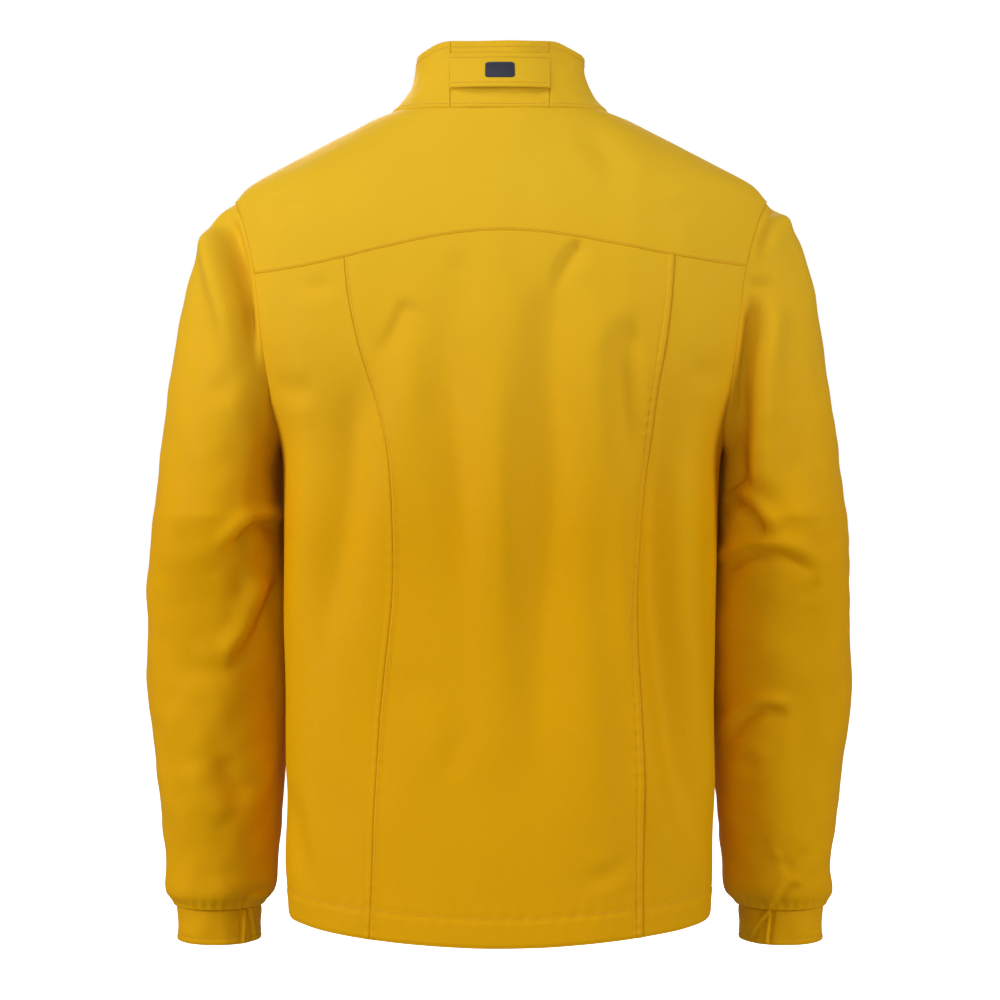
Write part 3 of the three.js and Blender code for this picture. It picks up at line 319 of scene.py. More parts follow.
def fold(u, v, width, depth, points, kind="valley", fade=(0.25, 0.35)):
    """How far a fold along points moves the cloth at the places (u, v)."""
    path = smooth_path(points)
    reach = width * 4.5
    low, high = path.min(0) - reach, path.max(0) + reach
    near = (u > low[0]) & (u < high[0]) & (v > low[1]) & (v < high[1])
    out = np.zeros(u.shape)
    if not near.any():
        return out
    q = np.stack([u[near], v[near]], -1)[:, None, :]
    a, d = path[:-1][None], (path[1:] - path[:-1])[None]
    t = np.clip(((q - a) * d).sum(-1) / (d * d).sum(-1), 0, 1)
    off = q - a - d * t[..., None]
    dist = np.hypot(off[..., 0], off[..., 1])
    k = dist.argmin(1)
    rows = np.arange(len(k))
    way = (k + t[rows, k]) / (len(path) - 1)
    dist = dist[rows, k]
    side = np.sign(d[0, k, 0] * off[rows, k, 1] - d[0, k, 1] * off[rows, k, 0])
    x = dist / width
    if kind == "valley":
        shape = -np.exp(-x * x) + 0.5 * np.exp(-(((x - 2.0) / 1.0) ** 2))
    elif kind == "ridge":
        shape = np.exp(-x * x) - 0.3 * np.exp(-(((x - 2.0) / 1.0) ** 2))
    elif kind == "hook":  # steep on one side of the line, and opening out slowly on the other
        shape = np.where(side > 0, -np.exp(-x * x * 2.5), -np.exp(-((x / 1.9) ** 2)))
    else:  # a crease is sharp, with a plump roll of cloth on one side
        shape = -np.exp(-x * 1.6) + 0.8 * np.exp(-(((x * side - 1.3) / 0.9) ** 2)) * (side > 0)
    hold = ease(way / fade[0]) * ease((1 - way) / fade[1])
    out[near] = depth * shape * hold
    return out


def lobe(u, v, centre, radii, height):
    x = (u - centre[0]) / radii[0]
    y = (v - centre[1]) / radii[1]
    return height * np.exp(-(x * x + y * y))


def add_folds(total, u, v, weight, folds, lobes=()):
    """Adds folds and lobes to a shift, each scaled by the weight at its place."""
    for width, depth, points, kind, fade in folds:
        total = total + weight * fold(u, v, width, depth, points, kind, fade)
    for centre, radii, height in lobes:
        total = total + weight * lobe(u, v, centre, radii, height)
    return total


def waves(p, length, seed, count=14):
    """Smooth random unevenness about 1 high, for points in millimetres."""
    draw = np.random.default_rng(seed)
    out = np.zeros(p.shape[:-1])
    for _ in range(count):
        direction = unit(draw.normal(size=3))
        out += np.sin(p @ direction * (2 * np.pi / (length * draw.uniform(0.7, 1.5))) + draw.uniform(0, 6.28))
    return out / math.sqrt(count / 2)


# Places are (x, z) on the back. Each is (width, depth, points, kind, fade at both ends).
BACK_FOLDS = [
    (8, 4.6, [(75, -166), (82, -184), (92, -204), (104, -222)], "hook", (0.2, 0.5)),
    (16, 6.0,
     [(116, -212), (121, -262), (124, -310), (130, -360), (139, -410), (150, -462), (158, -520)],
     "valley", (0.2, 0.5)),
    (15, 4.6,
     [(50, -146), (48, -190), (43, -236), (38, -280), (33, -330), (29, -380), (26, -430), (24, -500)],
     "valley", (0.3, 0.5)),
    (15, 2.6, [(40, -126), (28, -160), (16, -196)], "valley", (0.3, 0.5)),
    (6, 5.0, [(-70, -118), (-58, -129), (-48, -145), (-43, -172)], "hook", (0.25, 0.4)),
    (17, 5.6,
     [(-50, -140), (-42, -190), (-38, -250), (-36, -320), (-34, -390), (-32, -450), (-30, -510),
      (-26, -570), (-24, -640)],
     "valley", (0.12, 0.4)),
    (10, 3.6, [(-118, -196), (-106, -200), (-100, -214), (-100, -240)], "valley", (0.25, 0.4)),
    (10, 4.6, [(-98, -212), (-101, -250), (-105, -290), (-108, -350)], "valley", (0.2, 0.5)),
    (13, 8.4,
     [(-137, -222), (-132, -283), (-129, -330), (-128, -377), (-130, -429), (-136, -480),
      (-146, -548), (-158, -600), (-170, -640)],
     "valley", (0.25, 0.25)),
    (18, 3.4, [(6, -190), (2, -260), (2, -360), (0, -470)], "ridge", (0.4, 0.5)),
    (16, 3.0, [(76, -200), (76, -290), (72, -380)], "ridge", (0.3, 0.5)),
    (10, 1.4, [(32, -511), (37, -540), (41, -566)], "valley", (0.4, 0.4)),
    (18, 2.6, [(92, -430), (100, -520), (98, -600)], "valley", (0.5, 0.4)),
    (18, 3.2, [(-84, -400), (-80, -500), (-84, -590)], "ridge", (0.5, 0.4)),
    (7, 1.2, [(-106, -618), (-94, -634), (-78, -640), (-58, -638)], "valley", (0.35, 0.4)),
    (10, 3.6, [(182, -560), (172, -610), (160, -668)], "valley", (0.4, 0.4)),
    (7, 1.6, [(190, -98), (174, -86), (156, -92)], "valley", (0.4, 0.4)),
    (7, 1.3, [(-136, -98), (-152, -92), (-168, -100)], "valley", (0.4, 0.4)),
    (7, 1.8, [(168, -150), (150, -158), (132, -150)], "valley", (0.4, 0.4)),
    (9, 1.9, [(186, -226), (168, -240), (146, -238)], "valley", (0.4, 0.4)),
    (9, 1.8, [(-188, -216), (-172, -228), (-152, -224)], "valley", (0.4, 0.4)),
    (11, 2.0, [(-60, -14), (-86, -44), (-104, -80)], "valley", (0.4, 0.5)),
]
BACK_LOBES = [
    ((158, -204), (24, 36), 3.4), ((-170, -196), (16, 30), 2.6), ((-82, -588), (26, 46), 2.0),
    ((73, -490), (20, 15), -1.2), ((-160, -400), (15, 90), 3.0), ((160, -400), (16, 110), 3.0),
    ((-86, -330), (16, 80), 2.4),
]
FRONT_FOLDS = [
    (13, 3.8, [(150, -150), (128, -190), (112, -260), (104, -350), (100, -440)], "valley", (0.3, 0.5)),
    (12, 3.6, [(-154, -160), (-134, -205), (-118, -270), (-112, -360), (-116, -450)], "valley", (0.3, 0.5)),
    (12, 3.2, [(60, -60), (52, -130), (46, -220), (50, -330)], "valley", (0.3, 0.5)),
    (13, 3.0, [(-66, -70), (-58, -150), (-48, -250), (-44, -380)], "valley", (0.3, 0.5)),
    (11, 3.4, [(168, -330), (150, -400), (140, -470), (144, -540)], "valley", (0.4, 0.4)),
    (11, 3.4, [(-170, -340), (-156, -410), (-148, -480), (-150, -560)], "valley", (0.4, 0.4)),
    (14, 2.8, [(60, -420), (52, -520), (50, -640)], "valley", (0.4, 0.3)),
    (14, 2.8, [(-56, -440), (-62, -540), (-56, -650)], "valley", (0.4, 0.3)),
    (7, 2.4, [(176, -128), (160, -150), (136, -166)], "crease", (0.4, 0.5)),
    (7, 2.4, [(-180, -132), (-162, -158), (-140, -170)], "crease", (0.4, 0.5)),
    (9, 2.6, [(176, -236), (150, -250), (122, -246)], "valley", (0.3, 0.5)),
    (9, 2.6, [(-178, -246), (-154, -262), (-128, -256)], "valley", (0.3, 0.5)),
]


HEM_DRAW = 3.0


def body_shift(p):
    """How far the folds move the body's cloth out of its plain surface."""
    x, y, z = p[..., 0], p[..., 1], p[..., 2]
    back, front = ease((y + 6) / 40), ease((6 - y) / 40)
    low = ease((-30 - z) / 70)  # the shoulders carry the cloth, so it lies smooth on them
    drawn = p * np.array([1.0, 1.0, 0.3])  # cloth that hangs ripples mostly across
    moved = lerp(0.25, 0.8, low) * waves(drawn, 110, 3) + 0.22 * waves(drawn, 36, 5) - 0.8 * (1 - low)
    moved = add_folds(moved, x, z, back, BACK_FOLDS, BACK_LOBES)
    moved = add_folds(moved, x, z, front, FRONT_FOLDS)
    # the hem draws in at the sides
    moved = moved - HEM_DRAW * ease((-640 - z) / 60) * ease((np.abs(x) - 120) / 60)
    calm = ease(np.abs(x) / 22 + ease((y + 40) / 30))  # the zip holds the front's edges flat
    return moved * calm


# ---- Grids of cloth -----------------------------------------------------------------------------

FINE = np.array([0.0, 0.5, 1.0, 1.6, 2.3, 3.1, 4.0, 5.0, 6.0, 7.0, 8.2, 9.8, 11.8])
STEP = 2.8


def shares(length, start=True, end=True, step=STEP):
    """Places from 0 to 1 along a length, closer together beside a seam."""
    first = FINE if start else np.array([0.0])
    last = length - FINE[::-1] if end else np.array([length])
    middle = np.linspace(first[-1], last[0], max(3, int((last[0] - first[-1]) / step)))[1:-1]
    return np.concatenate([first, middle, last]) / length


def lengths(p, axis):
    """Distance of each point of a grid from its first edge, along rows (axis 1) or columns (axis 0)."""
    gaps = np.linalg.norm(np.diff(p, axis=axis), axis=-1)
    start = np.zeros_like(np.take(gaps, [0], axis))
    return np.concatenate([start, np.cumsum(gaps, axis)], axis)


SEAM_ROLL = 1.0  # depth of the groove between two sewn panels
SEAM_WIDTH = 1.1


def seam_shape(s, kind, along):
    """The cross-section of a sewn edge, s from it, with the ripple that the thread draws along it."""
    groove = -SEAM_ROLL * np.clip(1 - s / SEAM_WIDTH, 0, 1) ** 1.6
    draw = np.sin(along * 2 * np.pi / 11 + 1.7 * np.sin(along / 37)) * (0.6 + 0.4 * np.sin(along / 23 + 1))
    if kind == "stitched":
        raised = 0.95 * ease(s / 2) * (1 - ease((s - 5.4) / 1.4))
        thread = -0.5 * np.exp(-(((s - 6.4) / 0.9) ** 2)) - 0.18 * np.exp(-(((s - 1.9) / 0.5) ** 2))
        return groove + raised + thread + 0.42 * draw * np.exp(-(((s - 6) / 4.5) ** 2))
    if kind == "free":
        return np.zeros_like(s)
    if kind == "faint":  # the lower part lies flat, with a soft stitched ridge beside it
        up = ease((along - 420) / 90)
        ridge = 0.75 * ease(s / 1.6) * (1 - ease((s - 3.6) / 1.6))
        ridge = ridge + 0.3 * draw * np.exp(-(((s - 3) / 3) ** 2))
        return lerp(0.12, 1.0, up) * groove + (1 - up) * ridge
    return groove + 0.16 * draw * np.exp(-((s / 5) ** 2))


def tucked(p, n, edges):
    """Adds a ring round a grid that dives under the neighbouring panel."""
    for edge, how in edges.items():
        if how == "free":
            continue
        axis = 1 if edge in ("left", "right") else 0
        first = edge in ("left", "bottom")
        here, inner = (0, 1) if first else (-1, -2)
        edge_p, next_p, edge_n = np.take(p, here, axis), np.take(p, inner, axis), np.take(n, here, axis)
        out = edge_p + unit(edge_p - next_p) * 0.8 - edge_n * 1.6
        parts = [np.expand_dims(out, axis), p] if first else [p, np.expand_dims(out, axis)]
        p = np.concatenate(parts, axis)
        parts = [np.expand_dims(edge_n, axis), n] if first else [n, np.expand_dims(edge_n, axis)]
        n = np.concatenate(parts, axis)
    return p, n


def hem_turn(p, n, edge, depth=6.0):
    """Turns a free edge of a grid inside, so that it shows the thickness of folded cloth."""
    axis = 1 if edge in ("left", "right") else 0
    first = edge in ("left", "bottom")
    here, inner = (0, 1) if first else (-1, -2)
    edge_p, next_p, edge_n = np.take(p, here, axis), np.take(p, inner, axis), np.take(n, here, axis)
    out = unit(edge_p - next_p)
    rings = [edge_p + out * a - edge_n * b for a, b in ((0.45, 0.25), (0.6, 0.9), (0.4, 1.5), (-depth, 1.9))]
    rings = [np.expand_dims(r, axis) for r in rings]
    normal = [np.expand_dims(edge_n, axis)] * 4
    if first:
        return np.concatenate(rings[::-1] + [p], axis), np.concatenate(normal + [n], axis)
    return np.concatenate([p] + rings, axis), np.concatenate([n] + normal, axis)


def mesh_object(name, points, faces, material, uv=None, body=JACKET, replaces=(), smooth=True):
    mesh = bpy.data.meshes.new(name)
    places = (np.asarray(points).reshape(-1, 3) * MM).tolist()
    mesh.from_pydata(places, [], faces.tolist() if isinstance(faces, np.ndarray) else faces)
    if uv is not None:
        layer = mesh.uv_layers.new(name="UVMap")
        index = np.empty(len(mesh.loops), int)
        mesh.loops.foreach_get("vertex_index", index)
        layer.data.foreach_set("uv", (np.asarray(uv).reshape(-1, 2)[index] * MM).astype(np.float32).ravel())
    mesh.polygons.foreach_set("use_smooth", [smooth] * len(mesh.polygons))
    mesh.materials.append(material)
    mesh.update()
    obj = bpy.data.objects.new(name + "_made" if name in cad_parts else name, mesh)
    bpy.context.scene.collection.objects.link(obj)
    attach(obj, body)
    if replaces:
        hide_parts(*replaces)
    return obj


def grid_faces(rows, cols, closed=False, flip=False):
    r, c = np.meshgrid(np.arange(rows - 1), np.arange(cols if closed else cols - 1), indexing="ij")
    a, b = r * cols + c, r * cols + (c + 1) % cols
    quads = np.stack([a, b, b + cols, a + cols], -1).reshape(-1, 4)
    return quads[:, ::-1] if flip else quads


def as_lists(faces):
    return [list(map(int, face)) for face in faces]


UNDERSIDE = 0.05  # depth of a thin piece's underside below its grid


def sealed(top, under):
    """Points and faces of a sheet whose upper and lower grids are joined round their borders."""
    rows, cols = top.shape[:2]
    faces = np.concatenate([grid_faces(rows, cols), grid_faces(rows, cols, flip=True) + rows * cols])
    border = np.concatenate([
        np.arange(cols), np.arange(1, rows) * cols + cols - 1,
        (rows - 1) * cols + np.arange(cols - 2, -1, -1), np.arange(rows - 2, 0, -1) * cols,
    ])
    after = np.roll(border, -1)
    rim = np.stack([border + rows * cols, after + rows * cols, after, border], -1)
    return np.concatenate([top.reshape(-1, 3), under.reshape(-1, 3)]), np.concatenate([faces, rim])


def rounded_crown(p, thickness, edge_round):
    """The height of a thin piece over its grid, rounded off all the way round."""
    left, bottom = lengths(p, 1), lengths(p, 0)
    s = np.minimum(np.minimum(left, left[:, -1:] - left), np.minimum(bottom, bottom[-1:] - bottom))
    crown = thickness * np.sqrt(np.clip(1 - np.clip(1 - s / edge_round, 0, 1) ** 2, 0, 1))
    return crown, s, bottom


def grid_uv(p):
    return np.stack([lengths(p, 1), lengths(p, 0)], -1)


def cloth(name, p, n, edges, material, shift, replaces=(), turns=()):
    """A panel of shell cloth: a grid p with normals n, moved by folds and shaped by its seams."""
    left, bottom = lengths(p, 1), lengths(p, 0)
    right, top = left[:, -1:] - left, bottom[-1:] - bottom
    uv = np.stack([left - left[:, -1:] / 2, bottom], -1)
    total = shift(p)
    sewn = {"left": (left, bottom), "right": (right, bottom), "bottom": (bottom, left), "top": (top, left)}
    for edge, (s, along) in sewn.items():
        total = total + seam_shape(s, edges[edge], along)
    if edges.get("hem"):
        total = total + hem_shape(bottom, left)
    moved = p + n * total[..., None]
    surface = {"p": moved, "n": n, "left": left, "right": right, "bottom": bottom, "top": top}
    q, m = moved, n
    for edge in turns:
        q, m = hem_turn(q, m, edge)
        uv = pad_uv(uv, edge, 4)
    shut = {e: how for e, how in edges.items() if e != "hem" and how != "free" and e not in turns}
    q, m = tucked(q, m, shut)
    for edge in shut:
        uv = pad_uv(uv, edge, 1)
    faces = grid_faces(*q.shape[:2])
    surface["object"] = mesh_object(name, q, faces, material, uv, replaces=replaces)
    return surface


def pad_uv(uv, edge, count):
    axis = 1 if edge in ("left", "right") else 0
    here = 0 if edge in ("left", "bottom") else -1
    ring = np.repeat(np.expand_dims(np.take(uv, here, axis), axis), count, axis)
    return np.concatenate([ring, uv] if here == 0 else [uv, ring], axis)


def hem_shape(s, along):
    """The turned-up hem: a stitched line above a slightly fuller edge."""
    line = -0.8 * np.exp(-(((s - HEM_DEPTH) / 1.2) ** 2))
    full = 0.6 * ease(s / 3) * (1 - ease((s - HEM_DEPTH + 3) / 3))
    ripple = 0.45 * np.sin(along * 2 * np.pi / 13 + 2 * np.sin(along / 41))
    return line + full + ripple * np.exp(-(((s - HEM_DEPTH) / 8) ** 2))


# ---- Stitches -----------------------------------------------------------------------------------

STITCH_PITCH = 3.3
STITCH_LENGTH = 2.5
STITCH_RADIUS = 0.27
STITCH_BODIES = {"left_tab": "left_cuff_tab", "right_tab": "right_cuff_tab"}
stitch_sets = {}


def stitch_along(group, path, normal, lift=0.12):
    """Adds a row of thread stitches along a path over a surface."""
    gaps = np.linalg.norm(np.diff(path, axis=0), axis=-1)
    s = np.concatenate([[0], np.cumsum(gaps)])
    if s[-1] < 3 * STITCH_PITCH:
        return
    at = np.arange(STITCH_PITCH, s[-1] - STITCH_PITCH, STITCH_PITCH)
    centre = np.stack([np.interp(at, s, path[:, k]) for k in range(3)], -1)
    ahead = np.stack([np.interp(at + 0.6, s, path[:, k]) for k in range(3)], -1)
    up = unit(np.stack([np.interp(at, s, normal[:, k]) for k in range(3)], -1))
    along = unit(ahead - centre)
    across = unit(np.cross(up, along))
    rings = [(-0.5, 0.0, -0.35), (-0.36, 0.8, 0.05), (0.0, 1.0, 0.2), (0.36, 0.8, 0.05), (0.5, 0.0, -0.35)]
    sides = 5
    verts = []
    for way, girth, rise in rings:
        for k in range(sides):
            a = 2 * np.pi * k / sides
            radius = STITCH_RADIUS * max(girth, 0.25)
            verts.append(
                centre + along * (way * STITCH_LENGTH) + across * (radius * math.cos(a))
                + up * (lift + rise * STITCH_RADIUS + radius * math.sin(a))
            )
    verts = np.stack(verts, 1)
    faces = []
    for r in range(len(rings) - 1):
        for k in range(sides):
            m = (k + 1) % sides
            faces.append([r * sides + k, r * sides + m, (r + 1) * sides + m, (r + 1) * sides + k])
    faces = np.array(faces)
    stitch_sets.setdefault(group, []).append((verts, faces))


def iso_line(surface, edge, distance):
    """The path on a panel that keeps a distance from one edge."""
    s, p, n = surface[edge], surface["p"], surface["n"]
    if edge in ("bottom", "top"):
        s, p, n = s.T, p.transpose(1, 0, 2), n.transpose(1, 0, 2)
    if edge in ("right", "top"):
        s, p, n = s[:, ::-1], p[:, ::-1], n[:, ::-1]
    path = [[np.interp(distance, s[i], p[i, :, k]) for k in range(3)] for i in range(len(s))]
    normal = [[np.interp(distance, s[i], n[i, :, k]) for k in range(3)] for i in range(len(s))]
    return np.array(path), np.array(normal)


def sew(group, surface, edge, *distances):
    for distance in distances:
        stitch_along(group, *iso_line(surface, edge, distance))


def make_stitches(material):
    for group, parts in stitch_sets.items():
        points, faces, base = [], [], 0
        for verts, pattern in parts:
            count, per = verts.shape[:2]
            points.append(verts.reshape(-1, 3))
            faces.append((pattern[None] + (base + np.arange(count) * per)[:, None, None]).reshape(-1, 4))
            base += count * per
        body = STITCH_BODIES.get(group, JACKET)
        points, faces = np.concatenate(points), np.concatenate(faces)
        mesh_object("stitches_" + group, points, faces, material, body=body)


# ---- Materials ----------------------------------------------------------------------------------


def nodes_of(name):
    material = bpy.data.materials.new(name)
    material.use_nodes = True
    tree = material.node_tree
    shader = next(n for n in tree.nodes if n.type == "BSDF_PRINCIPLED")
    return material, tree, shader


class Graph:
    """Short calls for building a shader from nodes."""

    def __init__(self, tree):
        self.tree = tree

    def node(self, kind, **values):
        made = self.tree.nodes.new(kind)
        for key, value in values.items():
            setattr(made, key, value)
        return made

    def link(self, source, target):
        if isinstance(source, (int, float)):
            target.default_value = source
        else:
            self.tree.links.new(source, target)

    def math(self, operation, *inputs):
        made = self.node("ShaderNodeMath", operation=operation)
        for socket, value in zip(made.inputs, inputs):
            self.link(value, socket)
        return made.outputs[0]

    def noise(self, vector, scale, detail=2.0, rough=0.5):
        made = self.node("ShaderNodeTexNoise")
        self.link(vector, made.inputs["Vector"])
        made.inputs["Scale"].default_value = scale
        made.inputs["Detail"].default_value = detail
        made.inputs["Roughness"].default_value = rough
        return made.outputs["Fac"]

    def ramp(self, value, low, high, to_low, to_high):
        made = self.node("ShaderNodeMapRange")
        for key, number in zip(("From Min", "From Max", "To Min", "To Max"), (low, high, to_low, to_high)):
            made.inputs[key].default_value = number
        self.link(value, made.inputs["Value"])
        return made.outputs["Result"]

    def mix(self, factor, a, b, blend="MIX"):
        made = self.node("ShaderNodeMix", data_type="RGBA", blend_type=blend)
        self.link(factor, made.inputs[0])
        for socket, colour in ((made.inputs[6], a), (made.inputs[7], b)):
            if isinstance(colour, tuple):
                socket.default_value = (*colour, 1)
            else:
                self.tree.links.new(colour, socket)
        return made.outputs[2]

    def bump(self, height, distance, strength=1.0, normal=None):
        made = self.node("ShaderNodeBump")
        made.inputs["Strength"].default_value = strength
        made.inputs["Distance"].default_value = distance
        self.link(height, made.inputs["Height"])
        if normal is not None:
            self.tree.links.new(normal, made.inputs["Normal"])
        return made.outputs["Normal"]


def linear(r, g, b):
    """A colour from its sRGB bytes."""
    def one(v):
        v /= 255
        return v / 12.92 if v <= 0.04045 else ((v + 0.055) / 1.055) ** 2.4
    return (one(r), one(g), one(b))


def weave(g, u, v, yarn):
    """The height of a plain weave with that yarn spacing, in metres."""
    a = g.math("SINE", g.math("MULTIPLY", u, math.pi / yarn))
    b = g.math("SINE", g.math("MULTIPLY", v, math.pi / yarn))
    return g.math("ADD", g.math("MULTIPLY", g.math("MULTIPLY", a, b), 0.5), 0.5)


def fabric(name, colour, deep, yarn=0.00042, weave_depth=0.00005, rough=0.62, sheen=0.03,
           crinkle=0.00025, high=None, specular=0.3):
    """Woven cloth whose weave follows the UV map; colours are drawn between deep and colour, and where high
    is given, painted sheen lightens them towards the top.
    """
    material, tree, shader = nodes_of(name)
    g = Graph(tree)
    coords = g.node("ShaderNodeTexCoord")
    place = coords.outputs["Object"]
    uv = g.node("ShaderNodeSeparateXYZ")
    tree.links.new(coords.outputs["UV"], uv.inputs[0])
    height = weave(g, uv.outputs["X"], uv.outputs["Y"], yarn)
    cloud = g.noise(place, 9.0, 3.0)
    slub = g.noise(place, 260.0, 2.0)
    tone = g.math("ADD", g.ramp(cloud, 0.3, 0.7, 0.0, 0.65), g.ramp(slub, 0.3, 0.7, 0.0, 0.35))
    base = g.mix(tone, deep, colour)
    if high:  # painted sheen: cloth near the shoulders is coloured a little lighter and less saturated, as the top light's sheen would show it
        rise = g.node("ShaderNodeSeparateXYZ")
        tree.links.new(place, rise.inputs[0])
        base = g.mix(g.ramp(rise.outputs["Z"], -0.36, -0.08, 0.0, 1.0), base, high)
    tree.links.new(base, shader.inputs["Base Color"])
    roughness = g.ramp(g.noise(place, 70.0, 2.0), 0.3, 0.7, rough - 0.05, rough + 0.06)
    tree.links.new(roughness, shader.inputs["Roughness"])
    normal = g.bump(g.noise(place, 55.0, 3.0, 0.55), crinkle)
    normal = g.bump(height, weave_depth, 0.8, normal)
    tree.links.new(normal, shader.inputs["Normal"])
    shader.inputs["Sheen Weight"].default_value = sheen
    shader.inputs["Sheen Roughness"].default_value = 0.45
    shader.inputs["Sheen Tint"].default_value = (1.0, 0.9, 0.62, 1)
    shader.inputs["Specular IOR Level"].default_value = specular
    return material


def plain(name, colour, deep, rough, metallic=0.0, scale=180.0, depth=0.00004, wear=None):
    """Plastic, rubber or metal with a fine grain, and brighter worn edges where wear is a colour."""
    material, tree, shader = nodes_of(name)
    g = Graph(tree)
    place = g.node("ShaderNodeTexCoord").outputs["Object"]
    base = g.mix(g.ramp(g.noise(place, scale, 3.0), 0.3, 0.7, 0.0, 1.0), deep, colour)
    if wear:
        edge = g.node("ShaderNodeNewGeometry").outputs["Pointiness"]
        patchy = g.ramp(g.noise(place, 420.0, 3.0), 0.45, 0.6, 0.2, 1.0)
        base = g.mix(g.math("MULTIPLY", g.ramp(edge, 0.52, 0.6, 0.0, 1.0), patchy), base, wear)
    tree.links.new(base, shader.inputs["Base Color"])
    roughness = g.ramp(g.noise(place, scale * 2.3, 2.0), 0.3, 0.7, rough - 0.06, rough + 0.08)
    tree.links.new(roughness, shader.inputs["Roughness"])
    tree.links.new(g.bump(g.noise(place, scale * 5, 2.0), depth), shader.inputs["Normal"])
    shader.inputs["Metallic"].default_value = metallic
    return material


YELLOW = linear(224, 163, 0)
YELLOW_DEEP = linear(218, 158, 0)
# painted sheen: the lighter, paler yellow that stands in for the top light's sheen on the shoulders
YELLOW_PAINTED_TOP_SHEEN = linear(226, 180, 36)
shell = fabric("shell_fabric", YELLOW, YELLOW_DEEP, sheen=0.0, high=YELLOW_PAINTED_TOP_SHEEN, specular=0.07)
thread = plain("shell_thread", linear(226, 172, 30), linear(206, 150, 14), 0.6, scale=900.0)
lining = fabric(
    "lining_fabric", linear(62, 66, 74), linear(50, 54, 62), yarn=0.0005, rough=0.5, sheen=0.1, crinkle=0.0004
)
tape = fabric(
    "zip_tape", linear(34, 37, 50), linear(25, 28, 40), yarn=0.0006, weave_depth=0.0001, rough=0.8, sheen=0.15
)
label_cloth = fabric("label_cloth", linear(150, 153, 158), linear(128, 131, 137), yarn=0.0005, rough=0.8)
loop_cloth = fabric(
    "loop_tape", linear(28, 29, 33), linear(17, 18, 21), yarn=0.0009, weave_depth=0.0004, rough=0.95,
    sheen=0.5,
)
moulded = plain("moulded_teeth", linear(42, 45, 60), linear(30, 33, 46), 0.38)
coated = plain(
    "coated_metal", linear(52, 55, 62), linear(38, 40, 46), 0.32, metallic=0.9, wear=linear(150, 152, 158)
)
rubber = plain("puller_rubber", linear(38, 41, 56), linear(28, 30, 42), 0.62, scale=300.0, depth=0.00008)
film = plain("emblem_film", linear(40, 44, 62), linear(33, 37, 52), 0.42, scale=400.0)

# ---- Body panels --------------------------------------------------------------------------------


def panel_grid(share, low_rows, high_rows, corner_turn, edge_a, edge_b, top):
    """Angles and heights of a panel whose upper rows follow the armhole's curve to its corner."""
    corner_z = height_at(corner_turn)
    low = np.concatenate([np.ones(len(low_rows), bool), np.zeros(len(high_rows) - 1, bool)])
    high_q = (height_at(lerp(180, corner_turn, high_rows[1:])) - PIT_Z) / (corner_z - PIT_Z)
    q = np.concatenate([low_rows, high_q])[:, None]
    low = low[:, None]
    share = share[None, :]
    z = np.full((len(q), share.shape[1]), PIT_Z)
    for _ in range(16):
        angle = lerp(edge_a(z), edge_b(z), share)
        z = np.where(low, lerp(hem_height(angle), PIT_Z, q), lerp(PIT_Z, top(angle), q))
    return angle, z


low_rows = shares(PIT_Z - HEM_Z, True, False)
high_rows = shares(190.0, False, True)


def back_panel(name, width, corner, edge_a, edge_b, edges):
    angle, z = panel_grid(shares(width), low_rows, high_rows, corner, edge_a, edge_b, yoke_height)
    p, n = on_body(angle, z), body_normal(angle, z)
    return cloth(name, p, n, edges, shell, body_shift, replaces=(name,), turns=("bottom",))


left_corner = back_corner_turn(YOKE_SWEEP_LEFT)
right_corner = back_corner_turn(YOKE_SWEEP_RIGHT)
centre_back = back_panel(
    "centre_back_panel", 250.0, left_corner,
    lambda z: princess_angle(left_princess, z), lambda z: 180 - princess_angle(right_princess, z),
    {"left": "faint", "right": "stitched", "bottom": "free", "top": "plain", "hem": True},
)
left_side = back_panel(
    "left_side_back_panel", 110.0, left_corner, armhole_angle, lambda z: princess_angle(left_princess, z),
    {"left": "plain", "right": "faint", "bottom": "free", "top": "plain", "hem": True},
)
right_side = back_panel(
    "right_side_back_panel", 100.0, right_corner,
    lambda z: 180 - princess_angle(right_princess, z), lambda z: 180 - armhole_angle(z),
    {"left": "plain", "right": "plain", "bottom": "free", "top": "plain", "hem": True},
)
EDGE_STITCH, TOP_STITCH = 1.9, 6.4  # distances of the two rows of topstitching from a seam
sew("back", centre_back, "right", EDGE_STITCH, TOP_STITCH)
for panel in (centre_back, left_side, right_side):
    sew("back", panel, "bottom", HEM_DEPTH)
sew("back", centre_back, "left", 2.0)

# Front panels: columns meet the yoke's rows along its front seam.
top_edge = float(zip_edge_angle(-FRONT_NECK_DROP))
neck_part = shares(62.0, True, False)
yoke_rows = shares(118.0)
top_angles = np.concatenate([
    lerp(top_edge, FRONT_NECK_CORNER, neck_part), lerp(FRONT_NECK_CORNER, FRONT_CORNER_ANGLE, yoke_rows[1:]),
])
front_share = (top_angles - top_edge) / (FRONT_CORNER_ANGLE - top_edge)


POCKET_TOP_ANGLE, POCKET_FOOT_ANGLE = -54.0, -43.0
POCKET_TOP_Z = -470.0
POCKET_LENGTH = 165.0
POCKET_TOP = on_body(POCKET_TOP_ANGLE, POCKET_TOP_Z)
pocket_aim = on_body(POCKET_FOOT_ANGLE, POCKET_TOP_Z - POCKET_LENGTH)
pocket_up = unit(POCKET_TOP - pocket_aim)
pocket_out = body_normal(np.array(POCKET_TOP_ANGLE), np.array(POCKET_TOP_Z))
pocket_across = unit(np.cross(pocket_out, pocket_up))
pocket_in = np.cross(pocket_across, pocket_up)
POCKET_WINDOW = 7.0


def in_pocket(p):
    """Places across and up the left pocket's zip, from its top end."""
    d = p - POCKET_TOP
    return d @ -pocket_across, d @ pocket_in, d @ pocket_up


